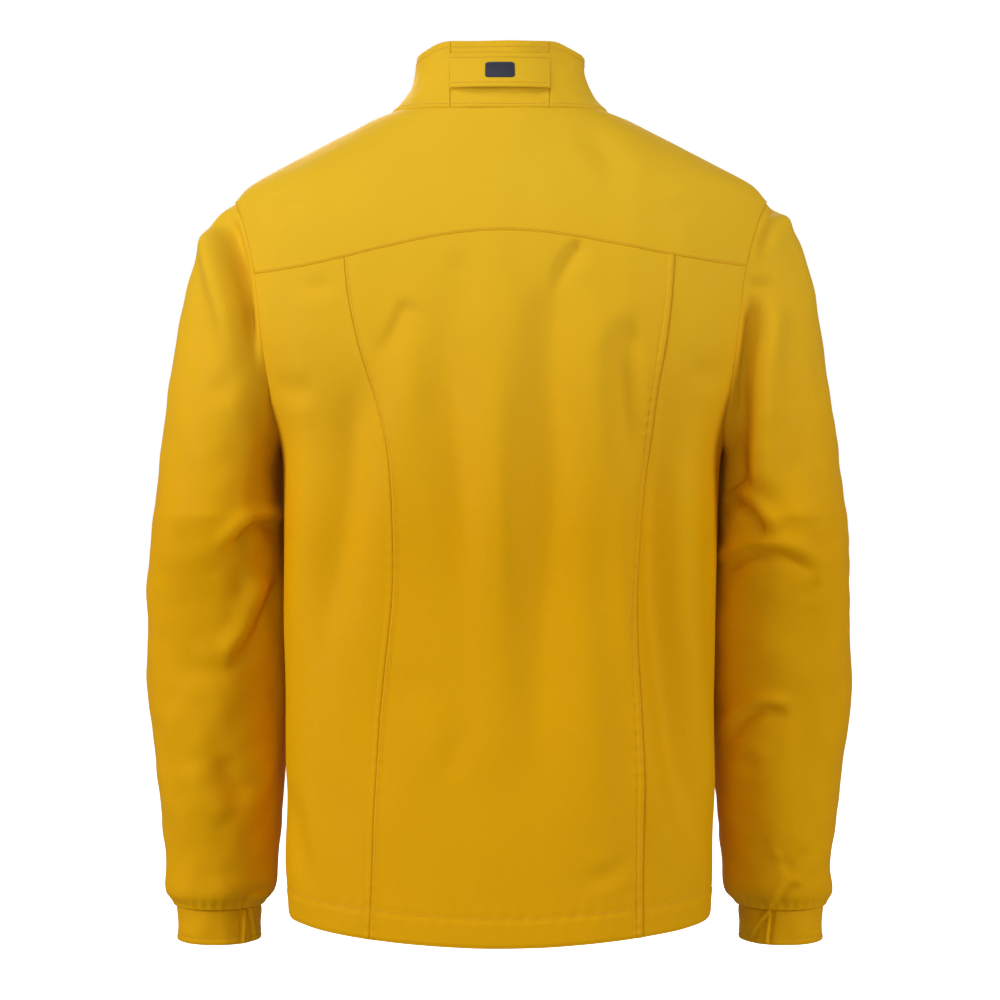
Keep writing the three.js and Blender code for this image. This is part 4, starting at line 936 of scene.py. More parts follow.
def open_pocket(mesh, side):
    """Opens a front panel under the pocket's frame, and draws the opening's edge straight."""
    bm = bmesh.new()
    bm.from_mesh(mesh)
    reach, end = POCKET_WINDOW + 3.0, 3.0
    inside = set()
    for vert in bm.verts:
        across, inwards, up = in_pocket(on_side(side, np.array(vert.co) / MM))
        if abs(across) < reach and -POCKET_LENGTH - end < up < end and abs(inwards) < 14:
            inside.add(vert)
    gone = [face for face in bm.faces if all(vert in inside for vert in face.verts)]
    kept = set(bm.faces) - set(gone)
    border = {vert for face in kept for vert in face.verts if vert in inside}
    for vert in border:
        spot = on_side(side, np.array(vert.co) / MM)
        across, _, up = in_pocket(spot)
        ahead, above = reach - abs(across), end - up
        below = up + POCKET_LENGTH + end
        if ahead <= min(above, below):
            spot = spot - pocket_across * (ahead if across > 0 else -ahead)
        else:
            spot = spot + pocket_up * (above if above < below else -below)
        vert.co = on_side(side, spot) * MM
    bmesh.ops.delete(bm, geom=gone, context="FACES")
    bm.to_mesh(mesh)
    bm.free()


def front_panel(side):
    angle, z = panel_grid(
        front_share, low_rows, high_rows, FRONT_CORNER_TURN, zip_edge_angle,
        lambda z: -armhole_angle(np.minimum(z, FRONT_CORNER_Z)), front_top,
    )
    p, n = on_body(angle, z), body_normal(angle, z)
    if side == "right":
        p, n = mirror(p)[:, ::-1], mirror(n)[:, ::-1]
    name = f"{side}_front_panel"
    near, far = ("left", "right") if side == "left" else ("right", "left")
    edges = {near: "stitched", far: "plain", "bottom": "free", "top": "plain", "hem": True}

    def shift(q):
        across, _, up = in_pocket(on_side(side, q))
        near_zip = ease(1.6 - np.abs(across) / 14) * ease((up + POCKET_LENGTH + 25) / 20)
        return body_shift(q) * (1 - near_zip * ease((22 - up) / 20))

    made = cloth(name, p, n, edges, shell, shift, replaces=(name,), turns=("bottom", near))
    open_pocket(made["object"].data, side)
    sew("front", made, near, TOP_STITCH)
    sew("front", made, "bottom", HEM_DEPTH)
    return made


fronts = {side: front_panel(side) for side in ("left", "right")}

# The yoke, from one front seam over the shoulders and the back of the neck to the other.
BACK_ARM = shares(76.0, True, False)
FRONT_ARM = shares(48.0, True, False)
PRINCESS_TOP_Z = -126.0


def arm_edge(turn):
    z = height_at(turn)
    return np.sign(180 - turn) * armhole_angle(z), z


def yoke_half(corner, princess):
    front_turns = lerp(360 - FRONT_CORNER_TURN, 360, FRONT_ARM)
    a0, z0 = arm_edge(front_turns)
    a1, z1 = arm_edge(lerp(0, corner, BACK_ARM[1:]))
    corner_angle = float(armhole_angle(height_at(corner)))
    princess_top = float(princess_angle(princess, PRINCESS_TOP_Z))
    a2 = np.concatenate([
        lerp(corner_angle, princess_top, np.linspace(0, 1, 26)[1:]),
        lerp(princess_top, 90, np.linspace(0, 1, 52)[1:]),
    ])
    return np.concatenate([a0, a1, a2]), np.concatenate([z0, z1, yoke_height(a2)])


def yoke_grid():
    left_a, left_z = yoke_half(left_corner, left_princess)
    right_a, right_z = yoke_half(right_corner, right_princess)
    # the right side's own heights, at its mirrored angles
    tail = right_a > float(armhole_angle(height_at(right_corner)))
    right_z = np.where(tail, yoke_height(180 - right_a), right_z)
    outer_a = np.concatenate([left_a, 180 - right_a[-2::-1]])
    outer_z = np.concatenate([left_z, right_z[-2::-1]])
    half = np.linspace(FRONT_NECK_CORNER, 90, len(left_a))
    other = np.linspace(FRONT_NECK_CORNER, 90, len(right_a))
    inner_a = np.concatenate([half, 180 - other[-2::-1]])
    inner_z = neck_height(inner_a)
    k = yoke_rows[:, None]
    return lerp(outer_a, inner_a, k), lerp(outer_z, inner_z, k)


yoke_angle, yoke_z = yoke_grid()
yoke_p, yoke_n = on_body(yoke_angle, yoke_z), body_normal(yoke_angle, yoke_z)
yoke = cloth(
    "back_yoke", yoke_p, yoke_n, {"left": "plain", "right": "plain", "bottom": "plain", "top": "plain"},
    shell, body_shift, replaces=("back_yoke",),
)
sew("back", yoke, "bottom", EDGE_STITCH)

# ---- Sleeves ------------------------------------------------------------------------------------

SLEEVE_Z = [
    CUFF_HIGH_Z, lerp(CUFF_HIGH_Z, ELBOW_Z, 0.12), lerp(CUFF_HIGH_Z, ELBOW_Z, 0.4), ELBOW_Z, BICEP_Z,
]
sleeve_half_x = Profile(*zip(SLEEVE_Z, (40, 46, 54.1, 62, 55)))
sleeve_half_y = Profile(*zip(SLEEVE_Z, (41, 48, 58, 66, 73)))
sleeve_inner = Profile(*zip(SLEEVE_Z, (210, 202, 193, 184, 191)))
sleeve_forward = Profile(
    (SLEEVE_Z[0], -62), (lerp(CUFF_HIGH_Z, ELBOW_Z, 0.5), -54), (SLEEVE_Z[3], -39.1), (SLEEVE_Z[4], -11.5)
)


def on_tube(turn, z):
    half = sleeve_half_x(z)
    c, s = polar(turn)
    return np.stack([sleeve_inner(z) + half + half * c, sleeve_forward(z) + sleeve_half_y(z) * s, z], -1)


def on_sleeve(turn, way):
    """Down a sleeve: 0 at the armhole, 1 at the bicep, 2 at the elbow, 3 at the cuff."""
    turn, way = np.broadcast_arrays(np.asarray(turn, float), np.asarray(way, float))
    z = np.where(way < 2, lerp(BICEP_Z, ELBOW_Z, way - 1), lerp(ELBOW_Z, CUFF_HIGH_Z, way - 2))
    tube = on_tube(turn, np.minimum(z, BICEP_Z))
    wrapped = np.mod(turn, 360)
    a = on_body(*arm_edge(wrapped))
    b = on_tube(turn, np.full(turn.shape, BICEP_Z))
    top = (1 + polar(turn)[0]) / 2
    span = np.linalg.norm(b - a, axis=-1)
    zero = np.zeros_like(top)
    leave = np.stack([lerp(0.35, 0.9, top), zero, lerp(-0.93, -0.44, top)], -1)
    leave = leave * (span * lerp(1, 0.62, top))[..., None]
    arrive = np.stack([0.08 * top, zero, -np.ones_like(top)], -1) * (span * 0.95)[..., None]
    w = np.clip(way, 0, 1)[..., None]
    v = 1 - w
    cap = a * (1 + 2 * w) * v * v + leave * w * v * v + b * w * w * (3 - 2 * w) - arrive * w * w * v
    return np.where((way < 1)[..., None], cap, tube)


# Places are (degrees round the sleeve, height). The degrees run from 180 beside the body, through 270 in
# front and 360 outside, to 450 behind.
COMMON_SLEEVE = [
    (9, 3.2, [(238, -372), (262, -392), (296, -398), (326, -384)], "valley", (0.3, 0.4)),
    (8, 3.0, [(232, -408), (258, -424), (288, -428)], "crease", (0.3, 0.4)),
    (10, 2.6, [(214, -446), (246, -470), (284, -478)], "valley", (0.3, 0.4)),
    (12, 4.2, [(300, -170), (306, -230), (300, -300)], "valley", (0.4, 0.4)),
    (10, 4.0, [(330, -440), (342, -500), (338, -580)], "valley", (0.4, 0.4)),
    (8, 2.2, [(262, -560), (288, -580), (316, -572)], "valley", (0.4, 0.4)),
    (7, 1.8, [(250, -625), (270, -650), (282, -684)], "valley", (0.4, 0.3)),
]
# Places are (distance from the middle, height) on the rear half of each sleeve.
REAR_FOLDS = {
    "left": [
        (11, 13.0, [(238, -84), (230, -104), (220, -128), (212, -152), (206, -176), (202, -200), (200, -222)],
         "valley", (0.15, 0.35)),
        (10, 4.6, [(248, -108), (241, -134), (233, -164), (226, -200), (222, -240), (221, -300)],
         "ridge", (0.25, 0.4)),
        (8, 1.8, [(214, -214), (232, -238), (252, -238)], "valley", (0.3, 0.4)),
        (8, 8.5, [(184, -358), (202, -354), (216, -362), (232, -383)], "crease", (0.1, 0.3)),
        (10, 7.5, [(188, -396), (200, -427), (210, -450), (225, -471), (240, -480)], "crease", (0.12, 0.4)),
        (7, 1.8, [(228, -386), (222, -404), (222, -424)], "valley", (0.3, 0.4)),
        (9, 1.6, [(278, -483), (250, -480), (222, -472)], "valley", (0.4, 0.4)),
        (13, 4.6, [(240, -548), (232, -573), (214, -596)], "valley", (0.35, 0.3)),
        (6, 3.4, [(225, -690), (219, -677), (204, -672)], "crease", (0.2, 0.3)),
    ],
    "right": [
        (10, 11.0, [(240, -72), (228, -80), (216, -92), (208, -112), (204, -134)], "valley", (0.15, 0.3)),
        (6, 4.0, [(204, -150), (216, -151), (232, -147)], "crease", (0.15, 0.3)),
        (10, 9.0, [(208, -156), (203, -205), (199, -260), (197, -305), (200, -340)], "valley", (0.12, 0.2)),
        (11, 6.5, [(232, -156), (228, -200), (226, -250), (226, -300), (229, -348)], "ridge", (0.2, 0.25)),
        (8, 8.0, [(190, -330), (204, -338), (216, -352), (229, -369)], "crease", (0.1, 0.25)),
        (9, 6.0, [(192, -394), (206, -384), (220, -379), (240, -381), (257, -389), (270, -397)],
         "crease", (0.12, 0.3)),
        (6, 2.4, [(254, -418), (264, -409), (273, -399)], "valley", (0.3, 0.3)),
        (7, 5.5, [(198, -548), (208, -527), (221, -516), (236, -514), (252, -519)], "crease", (0.25, 0.3)),
        (8, 1.6, [(207, -552), (214, -560), (224, -569)], "valley", (0.3, 0.4)),
        (7, 2.8, [(244, -655), (255, -645), (268, -632)], "valley", (0.3, 0.3)),
        (7, 1.8, [(239, -640), (247, -631), (256, -622)], "valley", (0.3, 0.3)),
        (5, 3.6, [(238, -692), (246, -676), (253, -669), (264, -671)], "crease", (0.15, 0.4)),
    ],
}
REAR_LOBES = {
    "left": [((240, -220), (24, 22), 2.0), ((203, -500), (20, 34), -4.0), ((245, -330), (26, 50), 2.4)],
    "right": [((230, -118), (16, 26), 3.4), ((232, -455), (22, 34), 3.0), ((262, -560), (12, 60), -2.0)],
}
# How far the outer side of each upper arm draws in, at a height of -225.
OUTER_SLACK = {"left": 5.0, "right": 6.2}


def sleeve_shift(side, turn, p):
    """How far the folds move a sleeve's cloth; the sleeve is made as a left one."""
    around, z = np.mod(turn - 180, 360) + 180, p[..., 2]
    total = 0.9 * waves(p if side == "left" else p + 500, 95, 11)
    total = total + 0.35 * waves(p, 30, 13 if side == "left" else 17)
    total = add_folds(total, around, z, 1.0, COMMON_SLEEVE)
    behind = ease((polar(turn)[1] + 0.12) / 0.5)
    total = add_folds(total, p[..., 0], z, behind, REAR_FOLDS[side], REAR_LOBES[side])
    # beside the body the cloth is pressed between the arm and the side, and keeps its place
    pressed = np.exp(-(((np.mod(turn, 360) - 182) / 26) ** 4)) * ease((-250 - z) / 60)
    held = lerp(total, np.maximum(total, -0.6) + 1.2, pressed)
    # below the underarm it bulges forwards of the side seam and closes the view between sleeve and body
    bulge = np.exp(-(((np.mod(turn, 360) - 200) / 18) ** 2)) * ease((-268 - z) / 40) * ease((z + 440) / 60)
    outer = np.maximum(polar(turn)[0], 0) ** 1.5 * np.exp(-(((z + 225) / 88) ** 2))
    blouse = 2.6 * np.exp(-(((z - CUFF_HIGH_Z - 16) / 13) ** 2))  # it fills out just above the cuff
    return held + 5.6 * bulge - OUTER_SLACK[side] * outer + blouse


WEAVE_RADIUS = 57  # the weave is laid out for a sleeve of about this radius


def sleeve_normal(turn, way):
    return normals_on(on_sleeve, turn, np.clip(way, 0.03, 2.97), 1.5, -0.03)


def sided_sheet(side, name, p, material, uv):
    """A grid made for the left side, on the side that is named, in place of the node of its name."""
    name, faces = f"{side}_{name}", grid_faces(*p.shape[:2], flip=side == "right")
    mesh_object(name, on_side(side, p), faces, material, uv, replaces=(name,))


def sleeve(side):
    turns = np.linspace(180, 540, 138)[:-1]
    ways = np.concatenate([
        shares(190.0, True, False), 1 + shares(105.0, False, False)[1:], 2 + shares(240.0, False, True)[1:],
    ])
    turn, way = np.meshgrid(turns, ways[::-1])
    p = on_sleeve(turn, way)
    n = sleeve_normal(turn, way)
    around = np.mod(turn - 180, 360) + 180
    seam_top, seam_low = lengths(p[::-1], 0)[::-1], lengths(p, 0)
    total = sleeve_shift(side, turn, p) * ease(seam_top / 12) * ease(seam_low / 14)
    along = lengths(p, 1)
    total = total + seam_shape(seam_top, "plain", along) * 0.3 + seam_shape(seam_low, "plain", along)
    total = total + 0.5 * np.sin(np.radians(around) * 30) * np.exp(-(((seam_low - 6) / 6) ** 2))
    # the armhole end goes where the body's cloth goes
    angle, z = arm_edge(np.mod(turns, 360))
    edge, edge_n = on_body(angle, z), body_normal(angle, z)
    shift = body_shift(on_side(side, edge))
    drag = edge_n * (shift - SEAM_ROLL)[..., None]
    moved = p + n * total[..., None] + drag[None] * (1 - ease(seam_top / 34))[..., None]
    start, end = moved[0], moved[-1]
    low = start + unit(start - moved[1]) * 0.8 - n[0] * 1.6
    high = end + unit(end - moved[-2]) * 0.8 - n[-1] * 1.6
    q = np.concatenate([low[None], moved, high[None]])
    uv = np.stack([np.radians(around) * WEAVE_RADIUS, seam_low], -1)
    uv = np.concatenate([uv[:1], uv, uv[-1:]])
    # a repeated column closes the tube without stretching the weave across the join
    q = np.concatenate([q, q[:, :1]], 1)
    last = uv[:, :1].copy()
    last[..., 0] += 2 * np.pi * WEAVE_RADIUS
    uv = np.concatenate([uv, last], 1)
    sided_sheet(side, "sleeve", q, shell, uv)


for side in ("left", "right"):
    sleeve(side)

# ---- Cuffs --------------------------------------------------------------------------------------

CUFF_PLEATS = {
    "left": [[(130, CUFF_HIGH_Z), (127, CUFF_LOW_Z)], [(141, CUFF_HIGH_Z), (151, CUFF_LOW_Z)]],
    "right": [[(108, CUFF_HIGH_Z), (141, CUFF_LOW_Z)], [(108, CUFF_HIGH_Z), (113, CUFF_LOW_Z)]],
}


def on_cuff(turn, z):
    c, s = polar(turn)
    return np.stack([CUFF_X + CUFF_HALF_X * c, CUFF_Y + CUFF_HALF_Y * s, z + 0 * c], -1)


CUFF_STITCH = 5.0  # height of the stitching over the cuff's lower edge


def cuff(side):
    turns = np.linspace(0, 360, 181)[:-1]
    heights = lerp(CUFF_LOW_Z, CUFF_HIGH_Z, shares(CUFF_HIGH_Z - CUFF_LOW_Z, True, True, 2.0))
    turn, z = np.meshgrid(turns, heights)
    p, n = on_cuff(turn, z), normals_on(on_cuff, turn, z, 1.0, 1.0)
    bottom, top = z - CUFF_LOW_Z, CUFF_HIGH_Z - z
    total = 0.45 * waves(p, 26, 21) + seam_shape(top, "plain", lengths(p, 1))
    total = total - 0.35 * np.exp(-(((bottom - CUFF_STITCH) / 0.9) ** 2))
    total = total + 0.4 * ease(bottom / 2) * (1 - ease((bottom - 3) / 1.6))
    for points in CUFF_PLEATS[side]:
        total = total + fold(turn, z, 3.0, 2.6, points, "crease", (0.02, 0.05))
    moved = p + n * total[..., None]
    turned = ((0.5, -0.25), (1.3, -0.2), (2.0, 0.4))  # how far each ring of the edge lies in and up
    inner_rings = [moved[0] - n[0] * inwards + [0, 0, rise] for inwards, rise in turned]
    inside = [p[k] - n[k] * 2.4 for k in range(2, len(p), 3)]
    high = moved[-1] - n[-1] * 1.8 + [0, 0, 1.2]
    q = np.concatenate([np.stack(inside[::-1] + inner_rings[::-1]), moved, high[None]])
    q = np.concatenate([q, q[:, :1]], 1)
    uv = np.stack([np.broadcast_to(np.linspace(0, 232, q.shape[1]), q.shape[:2]), lengths(q, 0)], -1)
    sided_sheet(side, "cuff", q, shell, uv)
    k = int(np.argmin(np.abs(heights - CUFF_LOW_Z - CUFF_STITCH)))
    stitch_along("cuffs", on_side(side, moved[k]), on_side(side, n[k]))


for side in ("left", "right"):
    cuff(side)

# ---- Collar -------------------------------------------------------------------------------------


def collar_top(angle):
    # the rim stands a little higher behind each ear than at the nape
    shoulder = np.exp(-(((angle - 50) / 14) ** 2)) + np.exp(-(((angle - 130) / 14) ** 2))
    rim = lerp(FRONT_COLLAR_Z, COLLAR_TOP_Z, (1 + polar(angle)[1]) / 2)
    return rim + 3.6 * shoulder + 1.4 * ease((angle - 45) / 30) * ease((135 - angle) / 30)


def ring_point(angle, half, front, back, z):
    c, s = polar(angle)
    n = np.where(s < 0, 2.6, 2.2)
    r = (np.abs(c / half) ** n + np.abs(s / np.where(s < 0, front, back)) ** n) ** (-1 / n)
    return np.stack([r * c, r * s, z + 0 * c], -1)


def on_collar(angle, share):
    angle, share = np.broadcast_arrays(np.asarray(angle, float), np.asarray(share, float))
    foot = on_body(angle, neck_height(angle))
    z = lerp(foot[..., 2], collar_top(angle), share)
    low = np.maximum(0, 1 - share)[..., None]
    top = ring_point(angle, COLLAR_HALF, front_line(z), COLLAR_BACK, z)
    seam = ring_point(angle, NECK_HALF, front_line(z), back_line(foot[..., 2]), z)
    start = foot - ring_point(angle, NECK_HALF, front_line(foot[..., 2]), back_line(foot[..., 2]), z)
    start[..., 2] = 0
    return lerp(top, seam, low**2.4) + start * low**3


def collar_normal(angle, share):
    return normals_on(on_collar, angle, np.clip(share, 0.01, 0.99), 1.0, 0.01)


COLLAR_PANEL_HALF = 41.5


def collar_seam(share):
    """The angle at which the collar's back panel ends, so that its seams stand upright."""
    low, high = np.full(np.shape(share), 35.0), np.full(np.shape(share), 85.0)
    for _ in range(30):
        middle = (low + high) / 2
        wide = on_collar(middle, share)[..., 0] > COLLAR_PANEL_HALF
        low, high = np.where(wide, middle, low), np.where(wide, high, middle)
    return low


def collar_shift(p):
    z = p[..., 2]
    return 0.7 * waves(p, 60, 31) * ease((z + 5) / 20) + 0.2 * waves(p, 20, 33)


def collar_panel(name, low_angle, high_angle, columns, edges):
    across, share = np.meshgrid(columns, shares(54.0, True, True, 2.0))
    angle = lerp(low_angle(share), high_angle(share), across)
    return cloth(name, on_collar(angle, share), collar_normal(angle, share), edges, shell, collar_shift,
                 replaces=(name,), turns=("top",))


sides = {"left": "plain", "right": "plain", "bottom": "plain", "top": "free"}
back_columns, wing_columns = shares(90.0, True, True, 2.0), shares(150.0, True, True, 2.4)
collar_back = collar_panel(
    "collar_back_panel", collar_seam, lambda k: 180 - collar_seam(k), back_columns, sides
)
left_wing = collar_panel(
    "left_collar_wing", lambda k: top_edge + 0 * k, collar_seam, wing_columns, {**sides, "left": "stitched"}
)
right_wing = collar_panel(
    "right_collar_wing", lambda k: 180 - collar_seam(k), lambda k: 180 - top_edge + 0 * k,
    1 - wing_columns[::-1], {**sides, "right": "stitched"},
)
for panel in (collar_back, left_wing, right_wing):
    sew("collar", panel, "top", 4.5)
    sew("collar", panel, "bottom", 3.0)

TAB_TOP = 0.82
TAB_LOW = TAB_TOP - 30 / (COLLAR_TOP_Z + BACK_NECK_DROP)
TAB_PLY, TAB_STITCH = 0.9, 4.0


def tab_lift(angle, share):
    middle = np.clip(1 - ((angle - 90) / (90 - collar_seam(share))) ** 2, 0, 1)
    loose = np.clip((TAB_TOP - share) / (TAB_TOP - TAB_LOW), 0, 1)
    return 1.0 + 1.1 * np.sqrt(middle) + 1.6 * middle * loose**1.5


def tab_grid(cols, rows):
    across, share = np.meshgrid(cols, lerp(TAB_LOW, TAB_TOP, rows))
    angle = lerp(collar_seam(share), 180 - collar_seam(share), across)
    n = collar_normal(angle, share)
    return n, on_collar(angle, share) + n * tab_lift(angle, share)[..., None]


def raised_patch(name, grid_p, n, thickness, material, replaces, edge_round=0.5):
    """A thin piece lying on a surface, with rounded edges and its own underside."""
    crown, _, _ = rounded_crown(grid_p, thickness, edge_round)
    points, faces = sealed(grid_p + n * crown[..., None], grid_p - n * UNDERSIDE)
    uv = grid_uv(grid_p).reshape(-1, 2)
    return mesh_object(name, points, faces, material, np.concatenate([uv, uv]), replaces=replaces)


tab_n, tab_base = tab_grid(shares(90.0, True, True, 2.0), shares(30.0, True, True, 1.5))
raised_patch("collar_tab", tab_base, tab_n, TAB_PLY, shell, ("collar_tab",), 0.8)
tab_rows = lengths(tab_base, 0)
for from_edge in (tab_rows[:, 0], tab_rows[-1, 0] - tab_rows[:, 0]):
    row = int(np.argmin(np.abs(from_edge - TAB_STITCH)))
    stitch_along("collar", tab_base[row] + tab_n[row] * TAB_PLY, tab_n[row])

# A plain dark patch with rounded ends stands in for the printed mark.
PATCH_HALF = 9.5
patch_mid = (TAB_LOW + TAB_TOP) / 2


def patch_grid():
    across = np.linspace(-1, 1, 41)
    rise = np.linspace(-1, 1, 19)
    u, v = np.meshgrid(across, rise)
    corner = 0.34
    shrink = np.sqrt(np.clip(1 - np.clip((np.abs(v) - (1 - corner)) / corner, 0, 1) ** 2, 0, 1))
    u = u * (1 - 0.22 * (1 - shrink))
    angle = 90 - u * PATCH_HALF
    share = patch_mid + v * 0.125
    p, n = on_collar(angle, share), collar_normal(angle, share)
    return (p + n * (tab_lift(angle, share) + 0.88)[..., None])[:, ::-1], n[:, ::-1]


patch_p, patch_n = patch_grid()
raised_patch("emblem_patch", patch_p, patch_n, 0.45, film, ("emblem_patch",), 0.8)

# ---- Linings ------------------------------------------------------------------------------------

FACING_EDGE = 24.0
FRONT_LINING_DEPTH = 9.5


def facing_angle(z):
    return -90 + np.degrees(np.arcsin(FACING_EDGE / front_line(z)))


def inner_sheet(name, surface, normal, u, v, depth, material, wobble, seed=41, length=45, shift=None):
    """A lining: cloth that faces inwards, at a depth below a surface and clear of the shell's folds."""
    p, n = surface(u, v), normal(u, v)
    inwards = np.minimum(shift(p), 0) if shift else 0
    p = p - n * (depth + wobble * np.abs(waves(p, length, seed)) - inwards)[..., None]
    faces = grid_faces(*p.shape[:2], flip=True)
    return mesh_object(name, p, faces, material, grid_uv(p), replaces=(name,))


lining_edge = float(facing_angle(0.0))
inner_u, inner_v = np.meshgrid(np.linspace(lining_edge, 180 - lining_edge, 150), np.linspace(0.0, 0.985, 26))
inner_sheet("inner_collar", on_collar, collar_normal, inner_u, inner_v, 2.7, lining, 0.15)


def body_lining(name, angle_low, angle_high, depth, columns):
    rows = np.concatenate([np.linspace(0, 1, 60), 1 + np.linspace(0, 1, 50)[1:]])[:, None]
    k = np.linspace(0, 1, columns)[None, :]
    z = np.full((rows.shape[0], columns), PIT_Z)
    for _ in range(14):
        angle = lerp(angle_low(z), angle_high(z), k)
        z = np.where(rows <= 1, lerp(hem_height(angle) + HEM_DEPTH - 3, PIT_Z, np.clip(rows, 0, 1)),
                     lerp(PIT_Z, neck_height(angle) - 1.0, np.clip(rows - 1, 0, 1)))
    inner_sheet(name, on_body, body_normal, angle, z, depth, lining, 1.2, 43, 70, body_shift)


body_lining("back_lining", armhole_angle, lambda z: 180 - armhole_angle(z), 5.5, 130)
body_lining("left_front_lining", facing_angle, lambda z: -armhole_angle(z), FRONT_LINING_DEPTH, 80)
body_lining(
    "right_front_lining", lambda z: 180 + armhole_angle(z),
    lambda z: 270 - np.degrees(np.arcsin(FACING_EDGE / front_line(z))), FRONT_LINING_DEPTH, 80,
)

facing_u, facing_k = np.meshgrid(np.linspace(lining_edge + 4, 176 - lining_edge, 300), np.linspace(0, 1, 8))


def on_facing(angle, k):
    return on_body(angle, hem_height(angle) + 0.8 + k * HEM_DEPTH)


def facing_normal(angle, k):
    return body_normal(angle, hem_height(angle) + 0.8 + k * HEM_DEPTH)


inner_sheet(
    "hem_facing", on_facing, facing_normal, facing_u, facing_k, 2.6, shell, 0.5, shift=body_shift
)

for side in ("left", "right"):
    turn, way = np.meshgrid(np.linspace(0, 360, 90), np.linspace(0.03, 2.93, 150))
    p, n = on_sleeve(turn, way), sleeve_normal(turn, way)
    inwards = np.minimum(sleeve_shift(side, turn, p), 0)
    p = p - n * (4.5 + 1.2 * np.abs(waves(p, 60, 47)) - inwards)[..., None]
    sided_sheet(side, "sleeve_lining", p, lining, grid_uv(p))

for side in ("left", "right"):
    angle, z = np.meshgrid(np.linspace(-72, -34, 44), np.linspace(-653, -457, 70))
    p, n = on_body(angle, z), body_normal(angle, z)
    p = p - n * (7.6 + 0.5 * np.abs(waves(p, 50, 53)))[..., None]
    sided_sheet(side, "pocket_bag", p, lining, grid_uv(p))

# ---- Frames for the zips ------------------------------------------------------------------------


def place(origin, x_axis, y_axis, z_axis, flip=False):
    """Maps points of a small part's own frame into the row frame."""
    def move(p):
        p = np.asarray(p, float)
        out = origin + p[..., :1] * x_axis + p[..., 1:2] * y_axis + p[..., 2:] * z_axis
        return mirror(out) if flip else out
    return move


ZIP_TOP_Z = FRONT_COLLAR_Z - 1.0
zip_at = place(
    np.array([0, -front_line(ZIP_TOP_Z), ZIP_TOP_Z]), np.array([1.0, 0, 0]),
    np.array([0, math.cos(LEAN), -math.sin(LEAN)]), np.array([0, math.sin(LEAN), math.cos(LEAN)]),
)
pocket_at = {
    "left": place(POCKET_TOP, -pocket_across, pocket_in, pocket_up),
    "right": place(POCKET_TOP, -pocket_across, pocket_in, pocket_up, flip=True),
}
ZIP_LENGTH = (ZIP_TOP_Z - HEM_Z) / math.cos(LEAN)


def strip(name, x_low, x_high, depth, z_low, z_high, thickness, material, wave=0.0):
    """A flat band of cloth or tape along the zip, with softly rounded edges."""
    rows = max(8, int((z_high - z_low) / 3))
    x, z = np.meshgrid(np.linspace(x_low, x_high, 14), np.linspace(z_low, z_high, rows))
    p = np.stack([x, depth + wave * np.sin(z / 31 + x / 9), z], -1)
    n = np.broadcast_to(np.array([0.0, -1.0, 0.0]), p.shape)
    mesh = raised_patch(name, p, n, thickness, material, (name,)).data
    flat = np.empty(len(mesh.vertices) * 3, np.float32)
    mesh.vertices.foreach_get("co", flat)
    mesh.vertices.foreach_set("co", (zip_at(flat.reshape(-1, 3) / MM) * MM).astype(np.float32).ravel())
    mesh.update()


for side, sign in (("left", 1), ("right", -1)):
    low, high = sorted((sign * 3.6, sign * 13.0))
    strip(f"{side}_zip_tape", low, high, 3.8, -ZIP_LENGTH + 1, -0.5, 0.9, tape)
strip("zip_guard", -16, 20, 8.4, -ZIP_LENGTH + 3, -4, 1.0, shell, 0.4)

TOOTH_PITCH = 2.9


def tooth_rows():
    for side, sign in (("left", 1), ("right", -1)):
        count = int((ZIP_LENGTH - 22) / TOOTH_PITCH)
        outline = np.array([(0.5, -0.62), (0.62, -0.95), (1.5, -0.95), (2.0, -0.6), (3.7, -0.8), (3.9, -0.5),
                            (3.9, 0.5), (3.7, 0.8), (2.0, 0.6), (1.5, 0.95), (0.62, 0.95), (0.5, 0.62)])
        rings = [(2.0, 0.82), (2.25, 1.0), (4.35, 1.0), (4.6, 0.82)]
        points, faces = [], []
        mid = outline.mean(0)
        for k in range(count):
            z = -3.4 - TOOTH_PITCH * (k + (0.5 if sign < 0 else 0))
            base = len(points) * len(outline)
            for y, scale in rings:
                ring = (outline - mid) * scale + mid
                points.append(np.stack([ring[:, 0] * sign, np.full(len(ring), y), z + ring[:, 1]], -1))
            m = len(outline)
            for r in range(len(rings) - 1):
                for i in range(m):
                    j = (i + 1) % m
                    low = base + r * m
                    quad = [low + i, low + j, low + m + j, low + m + i]
                    faces.append(quad if sign > 0 else quad[::-1])
            cap = [base + i for i in range(m)]
            faces.append(cap[::-1] if sign > 0 else cap)
            cap = [base + (len(rings) - 1) * m + i for i in range(m)]
            faces.append(cap if sign > 0 else cap[::-1])
        mesh_object(f"{side}_zip_teeth", zip_at(np.concatenate(points)), faces, moulded,
                    replaces=(f"{side}_zip_teeth",), smooth=False)


tooth_rows()

# ---- Small parts --------------------------------------------------------------------------------


def ring(half_a, half_b, power=4.0, count=28):
    """A rounded rectangle as places (a, b) round a middle."""
    t = np.linspace(0, 2 * np.pi, count, endpoint=False)
    c, s = np.cos(t), np.sin(t)
    a, b = half_a * np.sign(c) * np.abs(c) ** (2 / power), half_b * np.sign(s) * np.abs(s) ** (2 / power)
    return np.stack([a, b], -1)


def loft(rings):
    """A closed solid through a stack of rings."""
    rings = np.asarray(rings, float)
    rows, cols = rings.shape[:2]
    faces = as_lists(grid_faces(rows, cols, closed=True))
    faces.append(list(range(cols)))
    faces.append([(rows - 1) * cols + k for k in range(cols)])
    return rings.reshape(-1, 3), faces


def ring_band(points):
    """A tube whose rings go round and meet their start again."""
    points = np.asarray(points, float)
    rows, cols = points.shape[:2]
    quads = grid_faces(rows + 1, cols, closed=True) % (rows * cols)
    return points.reshape(-1, 3), as_lists(quads)


def moved_by(move, *parts):
    return [(move(points), faces) for points, faces in parts]


